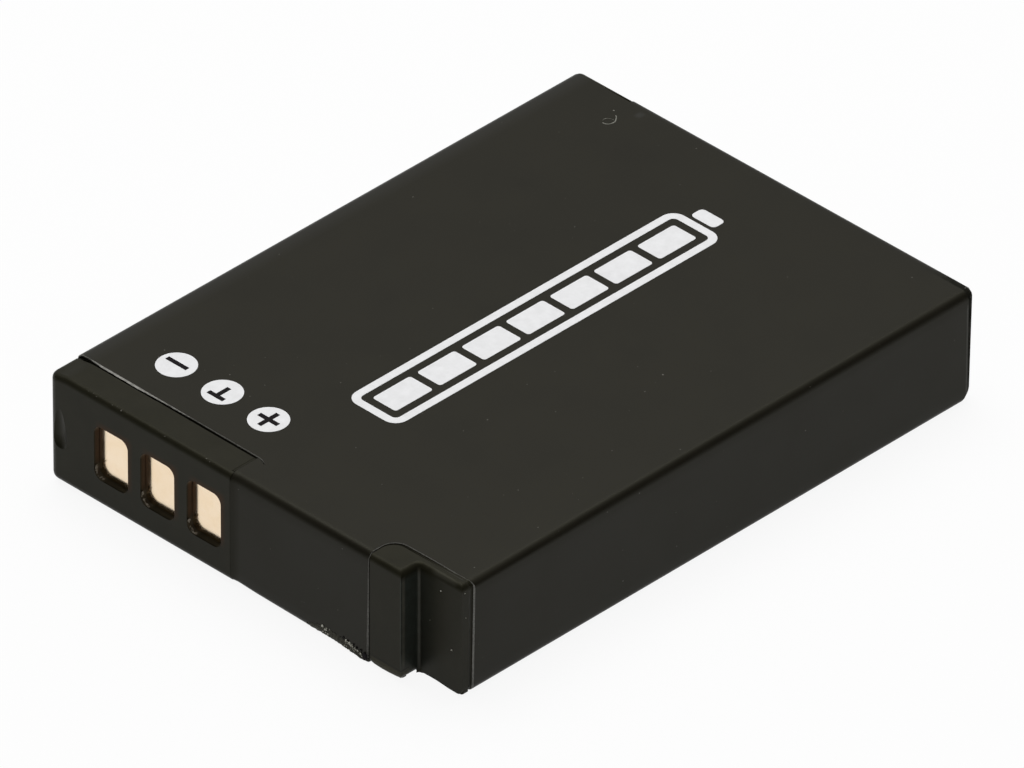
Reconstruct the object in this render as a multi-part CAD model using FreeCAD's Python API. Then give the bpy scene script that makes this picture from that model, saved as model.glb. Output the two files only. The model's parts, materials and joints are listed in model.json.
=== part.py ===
import FreeCAD
import Part
import math
import os
from FreeCAD import Vector

# Flat rechargeable camera battery. X runs along its length with the contacts at -X, Y across its
# width with the contacts near +Y, and Z up through its thickness. The origin is the middle of the
# underside. All sizes are in millimetres.

# Whole pack, over the film and the bare end face
pack_length = 43.6
pack_width = 32.2
pack_thickness = 7.75
edge_radius = 0.55

# Film sleeve
film_thickness = 0.12
panel_setback = 2.38        # bare strip between the contact end and the film's main edge
key_setback = 2.11          # the same strip beside the key
tongue_inset = 14.9         # from the +Y side to the near edge of the tongue over the contact end
tongue_width = 11.1
tongue_recess = 0.08        # by which it lies behind the bare end face
slit_length = 0.72          # relief slit at the root of that tongue
slit_width = 0.12
key_cut_radius = 1.05       # inner corner of the cut-out beside the key
rear_tongue_inset = 4.65    # from the +Y side to the near edge of the tongue over the far end

# Terminal cap
cap_length = 5.45
cap_wall = 0.9
land_inset = 0.06           # by which the bare lands lie below the film's outer face
land_relief = 0.16          # their height above the underside
land_corner = 0.65          # their upright corners
land_rim = 0.4              # their upper rims
land_foot = 0.5             # and their lower ones
contact_groove = 0.2        # moulded groove between the film's cut edge and the land at the contacts
key_groove = 0.12           # the same beside the key
groove_depth = 0.15         # below the film's inner face
cavity_radius = 0.3
window_width = 2.77
window_height = 3.72
window_radius = 0.6
window_pitch = 3.785
window_inset = 5.08         # from the cap's +Y side to the middle of the first window
key_width = 3.38
key_depth = 1.44
key_fillet = 0.2            # inner corner of the key step
key_foot = 0.45             # lower edge of its return
scoop_radius = 1.0          # shallow finger scoop on the upright corner beside the first window
scoop_depth = 0.2
scoop_height = 2.1
scoop_base = 3.25
scoop_inset = 0.9
lug_width = 1.6
lug_height = 0.35
lug_length = 0.7
lug_spacing = 18.0

# Contacts and circuit board
contact_thickness = 0.5     # of the flange behind the cap's front wall
contact_overlap = 0.3       # by which the flange reaches past the window on each side
contact_rounding = 0.25
contact_depth = 0.45        # from the bare end face to the contact's face
contact_clearance = 0.03    # round the contact in its window
board_thickness = 0.8
board_clearance = 0.1
board_corner = 0.4

# Chips on the board
package_length = 2.9
package_width = 1.6
package_height = 1.1
package_standoff = 0.1
package_chamfer = 0.12
package_spacing = 3.6
lead_span = 2.8
lead_pitch = 0.95
lead_width = 0.4
lead_thickness = 0.15
leads_per_side = 3
chip_length = 1.6
chip_width = 0.8
chip_terminal = 0.3
chip_step = 0.04            # by which a chip's end terminals stand proud of its body
chip_row_gap = 0.7
chip_column_pitch = 1.3
resistor_height = 0.45
capacitor_height = 0.8
thermistor_length = 2.0
thermistor_width = 1.25
thermistor_height = 0.9

# Cell
weld_inset = 0.6
weld_width = 0.12
weld_depth = 0.1
vent_length = 3.0
vent_width = 2.0
vent_depth = 0.1
vent_groove = 0.15
vent_distance = 12.6        # from the pole to the middle of the vent score

# Negative pole, filling plug and lid insulator
gasket_length = 5.0
gasket_width = 3.2
gasket_corner = 0.8
gasket_flange = 0.35
collar_radius = 1.0
collar_depth = 0.8
rivet_head_radius = 1.4
rivet_head_height = 0.35
rivet_shank_radius = 0.6
rivet_end_gap = 0.1
plug_head_radius = 0.8
plug_head_height = 0.25
plug_stem_radius = 0.45
plug_stem_depth = 0.6
insulator_thickness = 0.2
insulator_margin = 0.6
insulator_clearance = 0.1
insulator_height = 5.4
insulator_corner = 0.5

# Strips and thermal cut-off
strip_thickness = 0.15
strip_width = 2.6
strip_bend = 0.3
strip_foot = 2.4
positive_tab_inset = 5.0    # from the board's +Y end to the upright run of the positive strip
lead_end_gap = 0.5          # from the board lead's end to the board's -Y end
cutoff_distance = 3.0       # from the pole to the cut-off's near end
cutoff_length = 4.5
cutoff_width = 3.0
cutoff_height = 1.0
cutoff_rounding = 0.25
cutoff_lead = 1.2
cutoff_clearance = 0.1

# Rear cap and its tape
rear_cap_thickness = 1.0
rear_rim = 1.4
tape_thickness = 0.2
tape_clearance = 0.15
tape_corner = 0.5

# Planes across the length, from the contact end to the far end
end_x = -pack_length / 2
tongue_x = end_x + tongue_recess
front_x = tongue_x + film_thickness
wall_x = front_x + cap_wall
contact_x = end_x + contact_depth
board_front = wall_x + contact_thickness
board_rear = board_front + board_thickness
key_x = end_x + key_depth
key_wall_x = key_x + cap_wall
lid_x = front_x + cap_length
far_x = pack_length / 2 - film_thickness
rear_cap_x = far_x - rear_cap_thickness

# Planes across the width and the thickness
half_width = pack_width / 2 - film_thickness
cavity_side = half_width - cap_wall
key_y = -half_width + key_width
key_inner_y = key_y + cap_wall
low_z = film_thickness
high_z = pack_thickness - film_thickness
mid_z = pack_thickness / 2
cavity_low = low_z + cap_wall
cavity_high = high_z - cap_wall

# Film edges
panel_x = end_x + panel_setback
key_panel_x = end_x + key_setback
tongue_near = pack_width / 2 - tongue_inset
tongue_far = tongue_near - tongue_width
rear_tongue_near = pack_width / 2 - rear_tongue_inset
rear_tongue_far = edge_radius - pack_width / 2
rear_fold_x = pack_length / 2 - edge_radius

# Radius of the pieces under the film
body_radius = edge_radius - film_thickness

# Circuit board
board_left = cavity_side - board_clearance
board_right = key_inner_y + board_clearance
board_low = cavity_low + board_clearance
board_high = cavity_high - board_clearance
board_middle = (board_left + board_right) / 2

# Stack on the cell's lid, each level counted outwards from the lid
rivet_top = gasket_flange + rivet_head_height
strip_x = lid_x - rivet_top
cutoff_near = -cutoff_distance
cutoff_far = cutoff_near - cutoff_length
cutoff_end = cutoff_far - cutoff_lead
insulator_near = gasket_length / 2 + insulator_margin
insulator_far = cutoff_end - strip_thickness - insulator_margin
positive_tab_y = board_left - positive_tab_inset
plug_y = (insulator_near + positive_tab_y - strip_foot) / 2

along = Vector(1, 0, 0)
across = Vector(0, 1, 0)
up = Vector(0, 0, 1)
through = Vector(0, 0, pack_thickness * 3)
tiny = 1e-6


def block(low, high):
    """Box between two opposite corners."""
    size = high - low
    return Part.makeBox(size.x, size.y, size.z, low)


def edges_along(shape, direction):
    """Straight edges of a shape that run along a direction."""
    found = []
    for edge in shape.Edges:
        first, last = edge.Vertexes[0].Point, edge.Vertexes[-1].Point
        if (last - first).Length > tiny and (last - first).normalize().cross(direction).Length < tiny:
            found.append(edge)
    return found


def edges_at(shape, axis, level):
    """Edges of a shape that lie in the plane where one coordinate has the given level."""
    def lies_there(edge):
        box = edge.BoundBox
        ends = (getattr(box, axis + "Min"), getattr(box, axis + "Max"))
        return max(abs(end - level) for end in ends) < 1e-4
    return [edge for edge in shape.Edges if lies_there(edge)]


def rounded_slab(x_from, x_to, middle, size, radius):
    """Slab square to X with rounded upright and level corners; middle and size are (y, z)."""
    low = Vector(min(x_from, x_to), middle[0] - size[0] / 2, middle[1] - size[1] / 2)
    slab = Part.makeBox(abs(x_to - x_from), size[0], size[1], low)
    return slab.makeFillet(radius, edges_along(slab, along))


def rounded_outline(corners):
    """Closed outline through corners given as (point, radius), with an arc at each rounded one."""
    edges = []
    starts, ends = [], []
    for index, (point, radius) in enumerate(corners):
        before = (corners[index - 1][0] - point).normalize()
        after = (corners[(index + 1) % len(corners)][0] - point).normalize()
        half_angle = before.getAngle(after) / 2
        reach = radius / math.tan(half_angle)
        start, end = point + before * reach, point + after * reach
        if radius:
            inward = (before + after).normalize()
            middle = point + inward * (radius / math.sin(half_angle) - radius)
            edges.append(Part.Arc(start, middle, end).toShape())
        starts.append(start)
        ends.append(end)
    for index, end in enumerate(ends):
        start = starts[(index + 1) % len(starts)]
        if (start - end).Length > tiny:
            edges.append(Part.makeLine(end, start))
    return Part.Wire(Part.__sortEdges__(edges))


def bent_strip(path, thickness, bend, width):
    """Strip of sheet along a flat path, with rounded bends or, for a bend of 0, mitred ones; width is
    a vector square to the path."""
    start = [point - width / 2 for point in path]
    normal = Vector(width).normalize()
    runs = [(second - first).normalize() for first, second in zip(start, start[1:])]
    sides = {1: [], -1: []}
    for index, point in enumerate(start):
        arriving = runs[max(index - 1, 0)]
        leaving = runs[min(index, len(runs) - 1)]
        left_before, left_after = normal.cross(arriving), normal.cross(leaving)
        mitre = (left_before + left_after) / (1 + left_before.dot(left_after))
        turn = arriving.cross(leaving).dot(normal)
        for side, corners in sides.items():
            radius = 0
            if bend and abs(turn) > tiny:
                radius = bend if turn * side > 0 else bend + thickness
            corners.append((point + mitre * (side * thickness / 2), radius))
    outline = rounded_outline(sides[1] + sides[-1][::-1])
    return Part.Face(outline).extrude(width)


def rounded_envelope(inset):
    """Whole outer form of the film, taken in by the given depth on every side."""
    low = Vector(tongue_x + inset, inset - pack_width / 2, inset)
    high = Vector(pack_length / 2 - inset, pack_width / 2 - inset, pack_thickness - inset)
    form = block(low, high)
    return form.makeFillet(edge_radius - inset, form.Edges)


def corner_prism(x_to, y_to, radius):
    """Upright prism through the pack over its contact end, from the -Y side to y_to and back to x_to."""
    side, below = -pack_width, -pack_thickness
    corners = [(Vector(end_x * 2, y_to, below), 0), (Vector(x_to, y_to, below), radius),
               (Vector(x_to, side, below), 0), (Vector(end_x * 2, side, below), 0)]
    return Part.Face(rounded_outline(corners)).extrude(through)


def contact_prism(x_to, y_from):
    """Upright prism through the pack over its contact end, from y_from to the +Y side and back to x_to."""
    return block(Vector(end_x * 2, y_from, -pack_thickness), Vector(x_to, pack_width, 2 * pack_thickness))


def bare_regions():
    """Upright prisms over what the film leaves bare at the contacts and beside the key."""
    return [contact_prism(panel_x, tongue_near), corner_prism(key_panel_x, tongue_far, key_cut_radius)]


def far_corners():
    """Upright blocks over the corners that the film leaves bare at the far end."""
    below, above = -pack_thickness, 2 * pack_thickness
    return [block(Vector(rear_fold_x, low, below), Vector(pack_length, high, above))
            for low, high in ((rear_tongue_near, pack_width), (-pack_width, rear_tongue_far))]


def make_wrap_label():
    """Film sleeve, cut away at the contacts, the key and the far corners, with a tongue at each end."""
    sleeve = rounded_envelope(0).cut(rounded_envelope(film_thickness))
    slit = block(Vector(panel_x - slit_width, tongue_near - slit_length, -pack_thickness),
                 Vector(panel_x, pack_width, 2 * pack_thickness))
    return sleeve.cut(bare_regions() + [slit] + far_corners())


def window_middles():
    """Middles of the contact windows across the width, from the +Y side."""
    first = half_width - window_inset
    return [first - window_pitch * place for place in range(3)]


def make_land_block():
    """Square outer form of the bare lands as far back as the lid."""
    return block(Vector(end_x, land_inset - pack_width / 2, land_relief),
                 Vector(lid_x, pack_width / 2 - land_inset, pack_thickness - land_inset))


def make_contact_land():
    """Bare land round the contacts; on the end face it runs right up to the tongue."""
    form = make_land_block()
    low, high = form.BoundBox.ZMin, form.BoundBox.ZMax
    form = form.makeFillet(land_corner, [edge for edge in edges_along(form, up)
                                         if edge.BoundBox.XMax < lid_x - tiny])
    for level, radius in ((low, land_foot), (high, land_rim)):
        form = form.makeFillet(radius, [edge for edge in edges_at(form, "Z", level)
                                        if edge.BoundBox.XMin < lid_x - tiny])
    behind = contact_prism(panel_x - contact_groove, tongue_near + contact_groove)
    ahead = contact_prism(end_x + land_rim, tongue_near)
    return form.common(behind.fuse(ahead))


def make_key_land():
    """Bare land beside the key, with the key step cut into it and its outer rims rounded."""
    region = corner_prism(key_panel_x - key_groove, tongue_far - key_groove, key_cut_radius - key_groove)
    land = make_land_block().common(region).cut(corner_prism(key_x, key_y, key_fillet))
    low, high = land.BoundBox.ZMin, land.BoundBox.ZMax
    faces = [edges_at(land, "X", end_x), edges_at(land, "Y", land.BoundBox.YMin)]
    step = [edges_at(land, "X", key_x), edges_at(land, "Y", key_y)]
    arcs = [edge for edge in land.Edges if abs(getattr(edge.Curve, "Radius", 0) - key_fillet) < tiny]

    def rim_of(level, groups):
        return [edge for edge in edges_at(land, "Z", level)
                if any(edge.isSame(other) for group in groups for other in group)]
    rims = rim_of(high, faces + step + [arcs]) + rim_of(low, faces)
    outside = Vector(end_x * 2, key_y, low)
    foot = block(outside, Vector(key_x, key_y + key_foot, low + key_foot))
    bend = Part.makeCylinder(key_foot, key_x - outside.x, outside + Vector(0, key_foot, key_foot), along)
    return land.makeFillet(land_rim, rims).cut(foot.cut(bend))


def make_cap_body():
    """Outside of the terminal cap: a seat under the film, and bare lands with a groove beside them."""
    behind_step = corner_prism(key_x + cap_wall / 2, key_y + cap_wall / 2, 0)
    core = rounded_envelope(film_thickness + groove_depth).cut(behind_step)
    seat = rounded_envelope(film_thickness).cut(bare_regions())
    body = core.fuse([seat, make_contact_land(), make_key_land()])
    ahead_of_lid = block(Vector(end_x * 2, -pack_width, -pack_thickness),
                         Vector(lid_x, pack_width, 2 * pack_thickness))
    return body.common(ahead_of_lid)


def make_cap_cavity():
    """Space inside the terminal cap, open towards the cell and stepped round the key."""
    plan = [(Vector(lid_x, cavity_side, cavity_low), 0),
            (Vector(wall_x, cavity_side, cavity_low), cavity_radius),
            (Vector(wall_x, key_inner_y, cavity_low), cavity_radius),
            (Vector(key_wall_x, key_inner_y, cavity_low), 0),
            (Vector(key_wall_x, -cavity_side, cavity_low), cavity_radius),
            (Vector(lid_x, -cavity_side, cavity_low), 0)]
    return Part.Face(rounded_outline(plan)).extrude(up * (cavity_high - cavity_low))


def make_snap_lugs():
    """Four wedges on the cap's inner walls that hold the board from behind."""
    lugs = []
    face_x = board_rear + board_clearance / 2
    for offset in (-lug_spacing / 2, lug_spacing / 2):
        side = board_middle + offset - lug_width / 2
        for wall, inward in ((cavity_low, 1), (cavity_high, -1)):
            profile = [Vector(face_x, side, wall - inward * cap_wall / 2),
                       Vector(face_x, side, wall + inward * lug_height),
                       Vector(face_x + lug_length, side, wall),
                       Vector(face_x + lug_length, side, wall - inward * cap_wall / 2)]
            face = Part.Face(Part.makePolygon(profile + profile[:1]))
            lugs.append(face.extrude(across * lug_width))
    return lugs


def make_corner_scoop():
    """Tool of the finger scoop: a rod leaning out of the end face, with a ball at its deep lower end."""
    lean = Vector(-scoop_depth, 0, scoop_height).normalize()
    base = Vector(end_x + scoop_depth - scoop_radius, half_width - scoop_inset, scoop_base)
    rod = Part.makeCylinder(scoop_radius, 2 * scoop_height, base, lean)
    return rod.fuse(Part.makeSphere(scoop_radius, base))


def make_terminal_cap():
    """Moulded cap with its three windows, key step, board lugs and corner scoop."""
    cap = make_cap_body().cut(make_cap_cavity())
    windows = [rounded_slab(end_x - cap_wall, wall_x + cap_wall, (middle, mid_z),
                            (window_width, window_height), window_radius)
               for middle in window_middles()]
    cap = cap.cut(windows + [make_corner_scoop()])
    return cap.fuse(make_snap_lugs()).removeSplitter()


def make_contact(middle):
    """Plated contact: a pad standing in its window, on a flange between the cap's wall and the board."""
    flange_size = (window_width + 2 * contact_overlap, window_height + 2 * contact_overlap)
    flange = rounded_slab(wall_x, board_front, (middle, mid_z), flange_size, contact_rounding)
    pad_size = (window_width - 2 * contact_clearance, window_height - 2 * contact_clearance)
    pad = rounded_slab(contact_x, wall_x, (middle, mid_z), pad_size, window_radius - contact_clearance)
    return flange.fuse(pad).removeSplitter()


def make_protection_board():
    """Circuit board that fills the front of the cap's cavity."""
    size = (board_left - board_right, board_high - board_low)
    return rounded_slab(board_front, board_rear, (board_middle, mid_z), size, board_corner)


def make_package(middle):
    """Six-lead moulded package on the board's rear face."""
    low = Vector(board_rear + package_standoff, middle - package_length / 2, mid_z - package_width / 2)
    high = low + Vector(package_height - package_standoff, package_length, package_width)
    body = block(low, high)
    body = body.makeChamfer(package_chamfer, edges_at(body, "X", high.x))
    level = board_rear + package_height / 2
    foot = board_rear + lead_thickness / 2
    leads = []
    for place in range(leads_per_side):
        side = middle + (place - (leads_per_side - 1) / 2) * lead_pitch
        for outward in (1, -1):
            root = mid_z + outward * (package_width / 2 - package_chamfer)
            knee = mid_z + outward * (package_width / 2 + (lead_span - package_width) / 4)
            tip = mid_z + outward * lead_span / 2
            path = [Vector(level, side, root), Vector(level, side, knee),
                    Vector(foot, side, knee), Vector(foot, side, tip)]
            leads.append(bent_strip(path, lead_thickness, 0, across * lead_width))
    return body.fuse(leads).removeSplitter()


def make_chip(middle, height, length, width, thickness):
    """Ceramic chip standing along Z on the board's rear face, with a terminal at each end."""
    low = Vector(board_rear, middle - width / 2, height - length / 2)
    size = Vector(thickness, width, length)
    step = Vector(chip_step, chip_step, 0)
    body = block(low + step, low + size - step)
    ends = []
    for foot in (0, length - chip_terminal):
        corner = low + up * foot
        ends.append(block(corner, corner + Vector(thickness, width, chip_terminal)))
    return body.fuse(ends).removeSplitter()


def chip_place(column, row):
    """Middle of a chip: columns run towards -Y past the packages, rows lie above and below the middle."""
    first = board_middle - package_length / 2 - chip_column_pitch
    return first - column * chip_column_pitch, mid_z + row * (chip_length + chip_row_gap) / 2


def make_chip_group(places, thickness):
    """Loose chips of one kind."""
    chips = [make_chip(*chip_place(*place), chip_length, chip_width, thickness) for place in places]
    return Part.makeCompound(chips)


def make_thermistor():
    """Larger chip past the last column, level with the middle of the board."""
    middle = chip_place(3, 0)[0]
    return make_chip(middle, mid_z, thermistor_length, thermistor_width, thermistor_height)


def lid_rod(middle, radius, start, end):
    """Round rod square to the lid, between two levels counted outwards from the lid."""
    base = Vector(lid_x - start, middle, mid_z)
    return Part.makeCylinder(radius, end - start, base, -along)


def lid_ring(middle, size, corner, width, depth):
    """Closed groove in the lid that follows a rounded rectangle; middle is along Y."""
    outer = rounded_slab(lid_x, lid_x + depth, (middle, mid_z), size, corner)
    inner_size = (size[0] - 2 * width, size[1] - 2 * width)
    inner = rounded_slab(lid_x, lid_x + depth, (middle, mid_z), inner_size, corner - width)
    return outer.cut(inner)


def make_cell_can():
    """Sealed cell: drawn can with its lid's weld line, vent score and two blind holes."""
    can = block(Vector(lid_x, -half_width, low_z), Vector(rear_cap_x, half_width, high_z))
    can = can.makeFillet(body_radius, edges_along(can, along))
    lid_size = (2 * (half_width - weld_inset), high_z - low_z - 2 * weld_inset)
    weld = lid_ring(0, lid_size, weld_inset, weld_width, weld_depth)
    vent = lid_ring(-vent_distance, (vent_length, vent_width), vent_width / 2 - tiny, vent_groove, vent_depth)
    pole_hole = lid_rod(0, collar_radius, -collar_depth, 0)
    filling_hole = lid_rod(plug_y, plug_stem_radius, -plug_stem_depth, 0)
    return can.cut([weld, vent, pole_hole, filling_hole])


def make_rivet_gasket():
    """Gasket of the negative pole: a flange on the lid and a collar in its hole."""
    size = (gasket_length, gasket_width)
    flange = rounded_slab(lid_x, lid_x - gasket_flange, (0, mid_z), size, gasket_corner)
    collar = lid_rod(0, collar_radius, -collar_depth, 0)
    hole = lid_rod(0, rivet_shank_radius, -collar_depth, gasket_flange)
    return flange.fuse(collar).cut(hole).removeSplitter()


def make_terminal_rivet():
    """Negative pole: a round head on the gasket and a shank through it."""
    head = lid_rod(0, rivet_head_radius, gasket_flange, rivet_top)
    shank = lid_rod(0, rivet_shank_radius, rivet_end_gap - collar_depth, gasket_flange)
    return head.fuse(shank).removeSplitter()


def make_fill_plug():
    """Plug of the filling hole: a welded head and its stem."""
    head = lid_rod(plug_y, plug_head_radius, 0, plug_head_height)
    stem = lid_rod(plug_y, plug_stem_radius, -plug_stem_depth, 0)
    return head.fuse(stem).removeSplitter()


def make_lid_insulator():
    """Fibre sheet on the lid with an opening round the gasket."""
    middle = (insulator_near + insulator_far) / 2
    size = (insulator_near - insulator_far, insulator_height)
    sheet = rounded_slab(lid_x, lid_x - insulator_thickness, (middle, mid_z), size, insulator_corner)
    opening_size = (gasket_length + 2 * insulator_clearance, gasket_width + 2 * insulator_clearance)
    opening = rounded_slab(lid_x, lid_x - insulator_thickness, (0, mid_z), opening_size, gasket_corner)
    return sheet.cut(opening)


def make_thermal_cutoff():
    """Cut-off on the insulator, with a lead level with the rivet's head at each end."""
    base_x = lid_x - insulator_thickness
    middle = (cutoff_near + cutoff_far) / 2
    body = block(Vector(base_x - cutoff_height, cutoff_far, mid_z - cutoff_width / 2),
                 Vector(base_x, cutoff_near, mid_z + cutoff_width / 2))
    body = body.makeFillet(cutoff_rounding, edges_at(body, "X", base_x - cutoff_height))
    length = cutoff_length + 2 * cutoff_lead
    leads = block(Vector(strip_x, middle - length / 2, mid_z - strip_width / 2),
                  Vector(strip_x + strip_thickness, middle + length / 2, mid_z + strip_width / 2))
    return body.fuse(leads).removeSplitter()


def make_negative_tab():
    """Flat strip over the rivet's head and the cut-off's near lead."""
    level = strip_x - strip_thickness / 2
    path = [Vector(level, rivet_head_radius, mid_z), Vector(level, cutoff_near + cutoff_clearance, mid_z)]
    return bent_strip(path, strip_thickness, strip_bend, up * strip_width)


def make_board_lead():
    """Strip from the cut-off's far lead, bent up to the board and on towards the board's end."""
    low_level = strip_x - strip_thickness / 2
    high_level = board_rear + strip_thickness / 2
    path = [Vector(low_level, cutoff_far - cutoff_clearance, mid_z),
            Vector(low_level, cutoff_end - strip_thickness / 2, mid_z),
            Vector(high_level, cutoff_end - strip_thickness / 2, mid_z),
            Vector(high_level, board_right + lead_end_gap, mid_z)]
    return bent_strip(path, strip_thickness, strip_bend, up * strip_width)


def make_positive_tab():
    """Strip welded to the lid, bent up to the board and away along its rear face."""
    low_level = lid_x - strip_thickness / 2
    high_level = board_rear + strip_thickness / 2
    path = [Vector(low_level, positive_tab_y - strip_foot, mid_z),
            Vector(low_level, positive_tab_y, mid_z),
            Vector(high_level, positive_tab_y, mid_z),
            Vector(high_level, positive_tab_y + strip_foot, mid_z)]
    return bent_strip(path, strip_thickness, strip_bend, up * strip_width)


def tape_size(clearance):
    """Size across the width and the thickness of the space that the tape fills."""
    inset = rear_rim + clearance
    return 2 * (half_width - inset), high_z - low_z - 2 * inset


def make_rear_cap():
    """Moulded end plate with a pocket for the tape, raised at the corners that the film leaves bare."""
    plate = block(Vector(rear_cap_x, -half_width, low_z), Vector(far_x, half_width, high_z))
    plate = plate.makeFillet(body_radius, edges_along(plate, along) + edges_at(plate, "X", far_x))
    pocket = rounded_slab(rear_cap_x, rear_cap_x + tape_thickness, (0, mid_z), tape_size(0), tape_corner)
    raised = [rounded_envelope(land_inset).common(corner) for corner in far_corners()]
    return plate.cut(pocket).fuse(raised).removeSplitter()


def make_rear_tape():
    """Adhesive pad between the cell's base and the rear cap."""
    return rounded_slab(rear_cap_x, rear_cap_x + tape_thickness, (0, mid_z),
                        tape_size(tape_clearance), tape_corner)


def make_parts():
    """Every piece of the battery by its name."""
    contacts = [make_contact(middle) for middle in window_middles()]
    return {
        "wrap_label": make_wrap_label(),
        "terminal_cap": make_terminal_cap(),
        "contact_negative": contacts[0],
        "contact_thermistor": contacts[1],
        "contact_positive": contacts[2],
        "rear_cap": make_rear_cap(),
        "rear_tape": make_rear_tape(),
        "cell_can": make_cell_can(),
        "rivet_gasket": make_rivet_gasket(),
        "terminal_rivet": make_terminal_rivet(),
        "fill_plug": make_fill_plug(),
        "lid_insulator": make_lid_insulator(),
        "negative_tab": make_negative_tab(),
        "thermal_cutoff": make_thermal_cutoff(),
        "board_lead": make_board_lead(),
        "positive_tab": make_positive_tab(),
        "protection_board": make_protection_board(),
        "protection_chip": make_package(board_middle),
        "switch_transistors": make_package(board_middle + package_spacing),
        "chip_resistors": make_chip_group([(0, 1), (0, -1), (1, 1)], resistor_height),
        "chip_capacitors": make_chip_group([(1, -1), (2, 1)], capacitor_height),
        "thermistor": make_thermistor(),
    }


os.makedirs("parts", exist_ok=True)
for name, shape in make_parts().items():
    shape.exportStep(os.path.join("parts", name + ".step"))
    print(name, len(shape.Solids), shape.isValid(), round(shape.Volume, 3))
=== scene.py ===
import bmesh
import bpy
import json
import math
import random
from mathutils import Matrix, Vector


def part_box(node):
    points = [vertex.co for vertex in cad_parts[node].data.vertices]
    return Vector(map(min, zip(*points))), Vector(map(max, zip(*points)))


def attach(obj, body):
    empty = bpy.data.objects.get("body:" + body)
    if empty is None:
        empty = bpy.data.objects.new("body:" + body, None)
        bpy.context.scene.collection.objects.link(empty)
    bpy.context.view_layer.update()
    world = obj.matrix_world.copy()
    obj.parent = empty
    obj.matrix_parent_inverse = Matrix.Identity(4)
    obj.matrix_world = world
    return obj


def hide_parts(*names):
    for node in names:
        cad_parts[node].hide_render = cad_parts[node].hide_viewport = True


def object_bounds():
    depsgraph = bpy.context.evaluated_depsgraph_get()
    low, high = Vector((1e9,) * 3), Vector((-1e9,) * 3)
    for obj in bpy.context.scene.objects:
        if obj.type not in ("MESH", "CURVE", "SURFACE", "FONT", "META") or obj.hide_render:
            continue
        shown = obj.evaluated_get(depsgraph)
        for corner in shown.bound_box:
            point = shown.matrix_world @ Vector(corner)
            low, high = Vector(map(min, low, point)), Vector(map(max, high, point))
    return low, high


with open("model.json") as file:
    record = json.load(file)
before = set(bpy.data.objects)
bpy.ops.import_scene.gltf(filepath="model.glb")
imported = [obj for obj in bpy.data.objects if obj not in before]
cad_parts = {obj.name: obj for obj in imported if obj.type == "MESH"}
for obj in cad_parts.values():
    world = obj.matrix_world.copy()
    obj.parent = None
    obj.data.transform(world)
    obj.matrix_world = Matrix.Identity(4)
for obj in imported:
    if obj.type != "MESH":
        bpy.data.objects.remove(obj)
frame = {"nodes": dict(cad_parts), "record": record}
cadLow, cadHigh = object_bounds()
mm = 0.001
close = 1e-6
packLow, packHigh = Vector(cadLow) / mm, Vector(cadHigh) / mm
nodes = frame["nodes"]
print("frame loaded:", len(nodes), "nodes")


# small helpers for meshes, all in millimetres until the last step

def spread(start, end, step):
    count = max(1, round(abs(end - start) / step))
    return [start + (end - start) * i / count for i in range(count + 1)]


def stops(marks, step):
    line = [marks[0]]
    for first, second in zip(marks, marks[1:]):
        line += spread(first, second, step)[1:]
    return line


def bendPoints(centre, radius, fromDeg, toDeg, steps):
    turns = [math.radians(fromDeg + (toDeg - fromDeg) * i / steps) for i in range(1, steps)]
    return [(centre[0] + radius * math.cos(a), centre[1] + radius * math.sin(a)) for a in turns]


def boxOf(node):
    low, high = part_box(node)
    return low / mm, high / mm


def meshPiece(name, bm, materials):
    mesh = bpy.data.meshes.new(name)
    bm.to_mesh(mesh)
    bm.free()
    mesh.transform(Matrix.Scale(mm, 4))
    piece = bpy.data.objects.new(name, mesh)
    bpy.context.scene.collection.objects.link(piece)
    for material in materials:
        mesh.materials.append(material)
    return piece


def smoothShade(piece, sharpDeg):
    piece.data.shade_smooth()
    piece.data.set_sharp_from_angle(angle=math.radians(sharpDeg))


# material helpers: every finish is a Principled shader fed by procedural nodes in object space

def startMaterial(name):
    material = bpy.data.materials.new(name)
    material.use_nodes = True
    tree = material.node_tree
    shader = tree.nodes["Principled BSDF"]
    return material, tree, shader


def fill(tree, node, inputs):
    for key, value in inputs.items():
        if isinstance(value, bpy.types.NodeSocket):
            tree.links.new(value, node.inputs[key])
        else:
            node.inputs[key].default_value = value


def addNode(tree, kind, inputs=None, **settings):
    node = tree.nodes.new(kind)
    for key, value in settings.items():
        setattr(node, key, value)
    fill(tree, node, inputs or {})
    return node


def objectSpace(tree):
    return addNode(tree, "ShaderNodeTexCoord").outputs["Object"]


def placeAt(tree, axis):
    return addNode(tree, "ShaderNodeSeparateXYZ", {0: objectSpace(tree)}).outputs[axis]


def product(tree, first, *others):
    for other in others:
        first = addNode(tree, "ShaderNodeMath", {0: first, 1: other}, operation="MULTIPLY").outputs[0]
    return first


def larger(tree, first, second):
    return addNode(tree, "ShaderNodeMath", {0: first, 1: second}, operation="MAXIMUM").outputs[0]


def noiseAt(tree, sizeMm, detail=3):
    inputs = {"Vector": objectSpace(tree), "Scale": 1 / (sizeMm * mm), "Detail": detail, "Roughness": 0.55}
    return addNode(tree, "ShaderNodeTexNoise", inputs).outputs["Fac"]


def remap(tree, value, fromLow, fromHigh, toLow=0.0, toHigh=1.0):
    inputs = {"Value": value, "From Min": fromLow, "From Max": fromHigh, "To Min": toLow, "To Max": toHigh}
    return addNode(tree, "ShaderNodeMapRange", inputs).outputs["Result"]


def noiseSpan(tree, noise, low=0.0, high=1.0):
    return remap(tree, noise, 0.3, 0.7, low, high)     # what a noise mostly fills of its range


# strength of a mark at a place: along each axis it starts, is full, begins to fade and ends
def zoneMask(tree, zone):
    mask = remap(tree, noiseAt(tree, 0.5), 0.25, 0.75, 0.6)
    for axis, marks in zone.items():
        start, full, last, end = [mark * mm for mark in marks]
        place = placeAt(tree, axis)
        mask = product(tree, mask, remap(tree, place, start, full), remap(tree, place, last, end, 1.0, 0.0))
    return mask


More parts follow.
